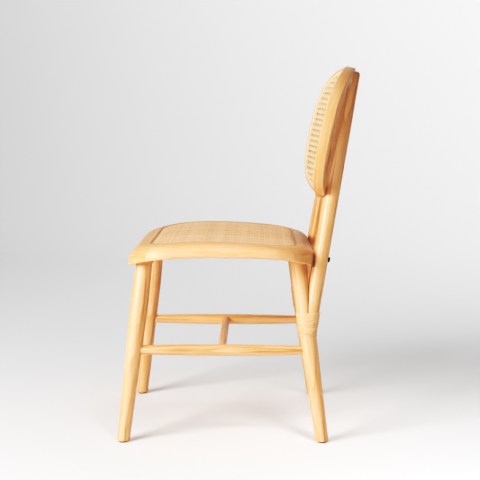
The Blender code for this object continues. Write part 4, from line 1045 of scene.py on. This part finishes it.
class ChairStageSettings(bpy.types.PropertyGroup):
    """Floor, backdrop and lights."""
    floor_colour: tint("Floor Colour", "Colour of the floor and backdrop", (0.93, 0.93, 0.93))
    key_power: watts("Key Power", "Power of the soft light to the left of the camera", 76.0)
    key_size: extent("Key Size", "Side of the soft light to the left of the camera", 1.3, 0.1, 5)
    fill_power: watts("Fill Power", "Power of the soft light beside the camera", 6.0)
    backdrop_power: watts("Backdrop Power", "Power of the light on the backdrop's middle", 34.0)
    right_share: amount("Right Share", "Power on the backdrop's right against its middle", 1.7, 10)
    floor_power: watts("Floor Power", "Power of the narrow light on the floor's front right", 4.0)
    ambient: amount("Ambient", "Strength of the even light from all round", 0.10, 3)


# Operators

class CHAIR_OT_legs(bpy.types.Operator):
    """Build the four turned legs with their scarfs for the posts"""
    bl_idname = "chair.build_legs"
    bl_label = "Legs"

    def execute(self, context):
        """Level rings along a leaning axis; a rear leg's rings are cut flat behind the scarf's plane."""
        look = turned_look(context)
        foot = GLIDE_THICKNESS + GAP
        for index, (place, front, side_name, side) in enumerate(CORNERS):
            heights = np.concatenate([foot + FOOT_SOFT_EDGE * np.array([0, 0.12, 0.45]),
                                      np.linspace(foot + FOOT_SOFT_EDGE, LEG_TOP - GAP, LEG_RINGS)])
            if not front:
                heights = np.sort(np.append(heights, [SHOULDER_HEIGHT, SHOULDER_HEIGHT]))
            radius = leg_radius(front, heights)
            radius[:3] -= FOOT_SOFT_EDGE * np.array([0.75, 0.45, 0.12])
            x, y = leg_axis(front, side, heights)
            rings = level_rings(x, y, radius, heights)
            if not front:
                cut = np.nonzero(heights == SHOULDER_HEIGHT)[0][1]
                rings[cut:, :, 1] = np.minimum(rings[cut:, :, 1], SCARF_Y)
            tube = rings, timber_grain(rings, x, y, index)
            new_piece(f"{place}_leg_{side_name}", "turned", [tube], look,
                      LEG_TONES[index])
        return {"FINISHED"}


class CHAIR_OT_stretchers(bpy.types.Operator):
    """Build the rods between the legs"""
    bl_idname = "chair.build_stretchers"
    bl_label = "Stretchers"

    def execute(self, context):
        """Two swelling rods from leg to leg, and one between their middles."""
        look = turned_look(context)
        middles = []
        for index, (side_name, side) in enumerate(SIDES):
            ends, housed = [], []
            for front in (True, False):
                ends.append(np.array([*leg_axis(front, side, STRETCHER_HEIGHT), STRETCHER_HEIGHT]))
                housed.append(leg_radius(front, STRETCHER_HEIGHT) - STRETCHER_HOUSING)
            direction = unit(ends[1] - ends[0])
            start, end = ends[0] + direction * housed[0], ends[1] - direction * housed[1]
            inset = SIDE_STRETCHER_RADII[1] - STRETCHER_HOUSING * 0.9
            middles.append((start + end) / 2 - (side * inset, 0, 0))
            tube = rod(start, end, SIDE_STRETCHER_RADII, index + 5)
            new_piece(f"side_stretcher_{side_name}", "turned", [tube], look,
                      STRETCHER_TONE)
        tube = rod(*middles, CROSS_STRETCHER_RADII, 8)
        new_piece("cross_stretcher", "turned", [tube], look, CROSS_TONE)
        return {"FINISHED"}


class CHAIR_OT_rim(bpy.types.Operator):
    """Build the five bent pieces of the seat's rim"""
    bl_idname = "chair.build_rim"
    bl_label = "Seat Rim"

    def execute(self, context):
        """Sections with a round-over, a groove and a lip, carried between the joints."""
        look = bent_look(context)
        front, rear = 1 + RIM_JOINT_ARC_SHARE, 4 - RIM_JOINT_ARC_SHARE
        joints = (0, front, rear, 10 - rear, 10 - front, 10)
        parts = (("front_left", [(True, 1)], 0.66), ("side_left", [], 0.42),
                 ("rear", [(False, 1), (False, -1)], 0.60),
                 ("side_right", [], 0.50), ("front_right", [(True, -1)], 0.62))
        for index, (name, pads, tone) in enumerate(parts):
            offset = np.array([0.017 * index - 0.03, 0.011 * index - 0.43, 1.3 * index])
            tubes = [rim_piece(joints[index], joints[index + 1], offset)]
            tubes += [leg_pad(is_front, side, offset) for is_front, side in pads]
            new_piece(f"seat_rim_{name}", "bent", tubes, look, tone)
        peg_look = turned_look(context, "peg_wood", from_object=True)
        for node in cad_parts:
            if node.startswith("seat_rim_peg"):
                finish_node(node, peg_look)
        return {"FINISHED"}


class CHAIR_OT_seat_weave(bpy.types.Operator):
    """Weave the seat and lay the reed in its groove"""
    bl_idname = "chair.build_seat_weave"
    bl_label = "Seat Weave"

    def execute(self, context):
        """Strands along X and along Y, and a reed round them from the middle of the rear."""
        weave = context.scene.chair_weave
        look = look_of("seat_cane", rattan, weave.cane_light, weave.cane_dark, 1.0)
        for way, along_x in (("across", True), ("back", False)):
            new_piece("seat_cane", way, seat_strands(weave, along_x), look, smooth=math.pi)
        fine = seat_stations()
        station = np.concatenate([fine[fine >= 5], fine[fine <= 5]])
        line = groove_line(station)
        inward, onward = rim_directions(station)
        line[0] += onward[0] * GAP
        line[-1] -= onward[-1] * GAP
        across, up = reed_section()
        place = line[:, None, :] + inward[:, None, :] * across[:, None]
        rings = stack(place[..., 0], place[..., 1], rim_top(place[..., 1]) + up)
        tube = rings, reed_grain(across, run_length(line))
        # Reed colours darkened as painted shade of the groove's dark line.
        look = look_of("seat_reed", rattan, weave.reed_pale_painted_shade, weave.reed_dark_painted_shade, 0.8, 0.1)
        new_piece("seat_reed", "round", [tube], look)
        return {"FINISHED"}


class CHAIR_OT_posts(bpy.types.Operator):
    """Build the two back posts"""
    bl_idname = "chair.build_posts"
    bl_label = "Posts"

    def execute(self, context):
        """Level rings along a leaning axis, pushed back behind the leg, the rim and the hoop."""
        look = turned_look(context)
        notch_low = float(rim_under(SEAT_REAR_REACH)) - GAP
        notch_high = float(rim_top(SEAT_REAR_REACH)) + GAP
        hoop_low = hoop_bottom_height()
        straight_top = POST_TIP_HEIGHT - POST_TIP_ROUNDING
        steps = [notch_low, notch_low, notch_high - GAP / 9, notch_high, hoop_low, hoop_low]
        straight = np.sort(np.append(np.linspace(SHOULDER_HEIGHT + GAP, straight_top, POST_RINGS), steps))
        arc = np.linspace(0, np.pi / 2, 9)[1:]
        heights = np.append(straight, straight_top + POST_TIP_ROUNDING * np.sin(arc))
        radius = np.append(0 * straight, POST_TIP_ROUNDING * (np.cos(arc) - 1)) + POST_RADIUS - GAP
        beside_leg = heights < LEG_TOP - 2 * POST_RADIUS
        order = np.arange(len(heights))
        beside_rim = (order >= np.nonzero(heights == notch_low)[0][1]) & (heights < notch_high)
        beside_hoop = order >= np.nonzero(heights == hoop_low)[0][1]
        for index, (side_name, side) in enumerate(SIDES):
            x, y = post_axis(side, heights)
            rings = level_rings(x, y, radius, heights)
            grain = timber_grain(rings, x, y, index + 10)
            hoop = hoop_rear_y(rings[..., 0], rings[..., 2])
            for beside, face in ((beside_leg, SCARF_Y), (beside_rim, SEAT_REAR_REACH), (beside_hoop, hoop)):
                pushed = np.maximum(rings[..., 1], face + GAP)
                rings[beside, :, 1] = pushed[beside]
            new_piece(f"back_post_{side_name}", "turned", [(rings, grain)], look,
                      POST_TONE)
        return {"FINISHED"}


class CHAIR_OT_hoop(bpy.types.Operator):
    """Build the bent hoop of the back"""
    bl_idname = "chair.build_hoop"
    bl_label = "Back Hoop"

    def execute(self, context):
        """A grooved section carried round a bent superellipse, with its joint in the lower rail."""
        tube = hoop_rings(hoop_profile(), np.array([-0.02, 0.03, 4.2]))
        new_piece("back_hoop", "bent", [tube], bent_look(context))
        return {"FINISHED"}


class CHAIR_OT_back_weave(bpy.types.Operator):
    """Weave the open webbing of the back and lay the reed in its groove"""
    bl_idname = "chair.build_back_weave"
    bl_label = "Back Weave"

    def execute(self, context):
        """Pairs of upright and level strands with two diagonals, and a reed round them."""
        weave = context.scene.chair_weave
        # The webbing colours carry painted light: they are brightened for the key light on the back's front.
        look = look_of("back_cane", rattan, weave.webbing_pale_painted_light, weave.webbing_dark_painted_light, 0.8)
        new_piece("back_cane", "woven", back_strands(weave), look, smooth=math.pi)
        across, up = reed_section()
        rings, grain = hoop_rings(stack(HOOP_GROOVE_INSET + across, -up))
        # The back reed takes the webbing's colours, with the same painted light.
        look = look_of("back_reed", rattan, weave.webbing_pale_painted_light, weave.webbing_dark_painted_light, 0.8, 0.1)
        new_piece("back_reed", "round", [(rings, reed_grain(across, grain[:, 0, 2]))], look)
        return {"FINISHED"}


class CHAIR_OT_bindings(bpy.types.Operator):
    """Wind rattan peel round the scarf of each leg and post"""
    bl_idname = "chair.build_bindings"
    bl_label = "Bindings"

    def execute(self, context):
        """One winding for each side."""
        weave = context.scene.chair_weave
        look = look_of("rattan_peel", rattan, weave.peel_light, weave.peel_dark, 1.0, 0.25)
        for side_name, side in SIDES:
            tube = binding(side, weave.binding_loops)
            new_piece(f"binding_{side_name}", "wound", [tube], look)
        return {"FINISHED"}


class CHAIR_OT_fasteners(bpy.types.Operator):
    """Build the post bolts, the hoop screws and their finishes"""
    bl_idname = "chair.build_fasteners"
    bl_label = "Fasteners"

    def execute(self, context):
        """Domed socket heads on the bolts and countersunk heads with a cross on the screws."""
        steel = look_of("dark_steel", metal, *STEEL)
        zinc = look_of("zinc", metal, *ZINC)
        for side_name, side in SIDES:
            self.build_bolt(f"post_bolt_{side_name}", side, steel)
            for upper, place in ((True, "upper"), (False, "lower")):
                self.build_screw(f"hoop_screw_{place}_{side_name}", side, upper, zinc)
            finish_node(f"post_insert_{side_name}", zinc)
        return {"FINISHED"}

    def build_bolt(self, name, side, look):
        """Bolt whose shank runs square to the post into the rim."""
        height = float(mix(rim_under(SEAT_REAR_REACH), rim_top(SEAT_REAR_REACH), BOLT_RISE_SHARE))
        low = np.array([*post_axis(side, height), height])
        run = unit(np.array([*post_axis(side, SEAT_HEIGHT), SEAT_HEIGHT]) - low)
        direction = unit(np.array([0, -run[2], run[1]]))
        head, radius, rounding = BOLT_HEAD_HEIGHT, BOLT_HEAD_RADIUS, BOLT_HEAD_ROUNDING
        profile = [(BOLT_HEAD_CROWN * share ** 2 - head, radius - rounding + rounding * math.sqrt(share))
                   for share in np.linspace(0, 1, 6)]
        profile += [(0, radius), (0, BOLT_RADIUS), (BOLT_LENGTH - BOLT_END_LENGTH, BOLT_RADIUS),
                    (BOLT_LENGTH, BOLT_RADIUS - BOLT_END_TAPER)]
        recess = [(depth - head, radius, *SOCKET_LOBES) for depth, radius in SOCKET_ROWS]
        tube = turned_small(profile, low - direction * (POST_RADIUS - BOLT_SINK), direction, recess)
        new_piece(name, "socket", [tube], look)

    def build_screw(self, name, side, upper, look):
        """Screw from the back of a post into the hoop, square to the hoop."""
        height = screw_place(upper)[1]
        direction = np.array([0, -math.cos(HOOP_TILT), math.sin(HOOP_TILT)])
        start = np.array([*post_axis(side, height), height]) - direction * (POST_RADIUS - SCREW_HEAD_SINK)
        low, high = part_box(name)
        head = SCREW_HEAD_RADIUS
        length = (high[1] - low[1] - 2 * head * math.sin(HOOP_TILT)) / math.cos(HOOP_TILT)
        profile = [(0, head - SCREW_HEAD_EDGE), (0.0002, head), (0.0006, head),
                   (SCREW_HEAD_HEIGHT, SCREW_RADIUS), (length - SCREW_POINT_LENGTH, SCREW_RADIUS),
                   (length - 0.0005, 0.0006)]
        tube = turned_small(profile, start, direction, CROSS_RECESS)
        new_piece(name, "cross", [tube], look)


class CHAIR_OT_glides(bpy.types.Operator):
    """Build the nail-on glides under the feet"""
    bl_idname = "chair.build_glides"
    bl_label = "Foot Glides"

    def execute(self, context):
        """A rounded disc turned round an upright axis."""
        look = look_of("dark_glide", plastic, GLIDE_COLOUR)
        edge = GLIDE_EDGE
        profile = [(edge * sine, GLIDE_RADIUS - edge * cosine) for sine, cosine in quarter_turn(5)[::-1]]
        profile += [(GLIDE_THICKNESS - GAP, GLIDE_RADIUS), (GLIDE_THICKNESS, GLIDE_RADIUS - GAP)]
        for place, front, side_name, side in CORNERS:
            tube = turned_small(profile, (*leg_axis(front, side, 0.0), 0.0), (0, 0, 1))
            new_piece(f"foot_glide_{place}_{side_name}", "disc", [tube], look)
        return {"FINISHED"}


class CHAIR_OT_stage(bpy.types.Operator):
    """Set up the floor, backdrop, lights and camera"""
    bl_idname = "chair.build_stage"
    bl_label = "Studio"

    def execute(self, context):
        """A floor that turns up into a wall in one sheet, lit softly from the camera's side and above."""
        stage = context.scene.chair_stage
        self.build_cove(stage)
        self.soft_light("key_light", stage.key_size, stage.key_power)
        middle, right = stage.backdrop_power, stage.backdrop_power * stage.right_share
        backdrop = [self.soft_light("wall_light", WALL_LIGHT, middle),
                    self.soft_light("right_light", RIGHT_LIGHT, right)]
        for light in backdrop:
            light.visible_glossy = False
        self.soft_light("fill_light", FILL_LIGHT, stage.fill_power)
        pool = self.soft_light("floor_light", FLOOR_LIGHT, stage.floor_power)
        pool.data.spread = FLOOR_LIGHT_SPREAD
        world = bpy.data.worlds.new("studio_air")
        world.use_nodes = True
        fill(world.node_tree, world.node_tree.nodes["Background"],
             {"Color": (1.0, 1.0, 1.0, 1), "Strength": stage.ambient})
        context.scene.world = world
        self.set_tone(context.scene.view_settings)
        camera = in_scene("camera", bpy.data.cameras.new("camera"))
        camera.data.sensor_width = FILM_WIDTH
        camera.data.lens = CAMERA_LENS
        camera.matrix_world = self.camera_matrix()
        context.scene.camera = camera
        return {"FINISHED"}

    def camera_matrix(self):
        """Camera rolled about its line of sight, pitched down from level, then turned to look along -X."""
        matrix = Matrix.Translation(Vector(CAMERA_PLACE) + Vector((0, SHIFT_Y, 0)))
        for turn, axis in ((90 - CAMERA_YAW, "Z"), (90 - CAMERA_PITCH, "X"), (CAMERA_ROLL, "Z")):
            matrix = matrix @ Matrix.Rotation(math.radians(turn), 4, axis)
        return matrix

    def soft_light(self, name, size, power):
        """Square area light that looks from its place at its target."""
        light = in_scene(name, bpy.data.lights.new(name, "AREA"))
        light.data.size = size
        light.data.energy = power
        place, target = (Vector(point) for point in LIGHT_LINES[name])
        aim = (target - place).to_track_quat("-Z", "Y").to_matrix().to_4x4()
        light.matrix_world = Matrix.Translation(place) @ aim
        return light

    def set_tone(self, view):
        """A photograph's contrast: a curve that deepens shade and rolls off softly towards white."""
        view.view_transform = "Standard"
        view.look = "None"
        view.use_curve_mapping = True
        for place, value in TONE_POINTS:
            view.curve_mapping.curves[3].points.new(place, value)
        view.curve_mapping.update()

    def build_cove(self, stage):
        """Floor and wall: a level run, a quarter circle and an upright run, drawn out along Y."""
        turn = np.linspace(0, np.pi / 2, 33)
        x = np.concatenate([[COVE_NEAR], COVE_FAR + COVE_RADIUS * (1 - np.sin(turn)), [COVE_FAR]])
        z = np.concatenate([[0], COVE_RADIUS * (1 - np.cos(turn)), [COVE_HEIGHT]])
        points = stack(x[:, None], (-COVE_HALF_WIDTH, 0, COVE_HALF_WIDTH), z[:, None]).reshape(-1, 3)
        first = np.arange(len(x) - 1)[:, None] * 3 + (0, 1)
        quads = np.stack([first + 3, first + 4, first + 1, first], axis=-1).reshape(-1, 4)
        mesh = bpy.data.meshes.new("studio_floor")
        mesh.from_pydata(points.tolist(), [], quads.tolist())
        mesh.shade_smooth()
        mesh.materials.append(look_of("studio_floor", studio_paint, stage.floor_colour))
        floor = in_scene("studio_floor", mesh)


class CHAIR_PT_panel(bpy.types.Panel):
    """Buttons that build the chair piece by piece"""
    bl_idname = "CHAIR_PT_panel"
    bl_label = "Rattan Chair"
    bl_space_type = "VIEW_3D"
    bl_region_type = "UI"
    bl_category = "Chair"

    def draw(self, context):
        """List the settings and the builders."""
        for group in (context.scene.chair_wood, context.scene.chair_weave, context.scene.chair_stage):
            column = self.layout.column(align=True)
            for key in group.__annotations__:
                column.prop(group, key)
        column = self.layout.column(align=True)
        for builder in BUILDERS:
            column.operator(builder.bl_idname)


BUILDERS = (CHAIR_OT_legs, CHAIR_OT_stretchers, CHAIR_OT_rim, CHAIR_OT_seat_weave, CHAIR_OT_posts,
            CHAIR_OT_hoop, CHAIR_OT_back_weave, CHAIR_OT_bindings, CHAIR_OT_fasteners, CHAIR_OT_glides,
            CHAIR_OT_stage)
CLASSES = (ChairWoodSettings, ChairWeaveSettings, ChairStageSettings, *BUILDERS, CHAIR_PT_panel)


def register():
    """Register the classes and hang the settings on the scene."""
    for entry in CLASSES:
        bpy.utils.register_class(entry)
    bpy.types.Scene.chair_wood = PointerProperty(type=ChairWoodSettings)
    bpy.types.Scene.chair_weave = PointerProperty(type=ChairWeaveSettings)
    bpy.types.Scene.chair_stage = PointerProperty(type=ChairStageSettings)


def unregister():
    """Take the settings and the classes away again."""
    del bpy.types.Scene.chair_stage
    del bpy.types.Scene.chair_weave
    del bpy.types.Scene.chair_wood
    for entry in reversed(CLASSES):
        bpy.utils.unregister_class(entry)


def main():
    """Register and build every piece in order."""
    register()
    for builder in BUILDERS:
        group, name = builder.bl_idname.split(".")
        getattr(getattr(bpy.ops, group), name)()


if __name__ == "__main__":
    main()
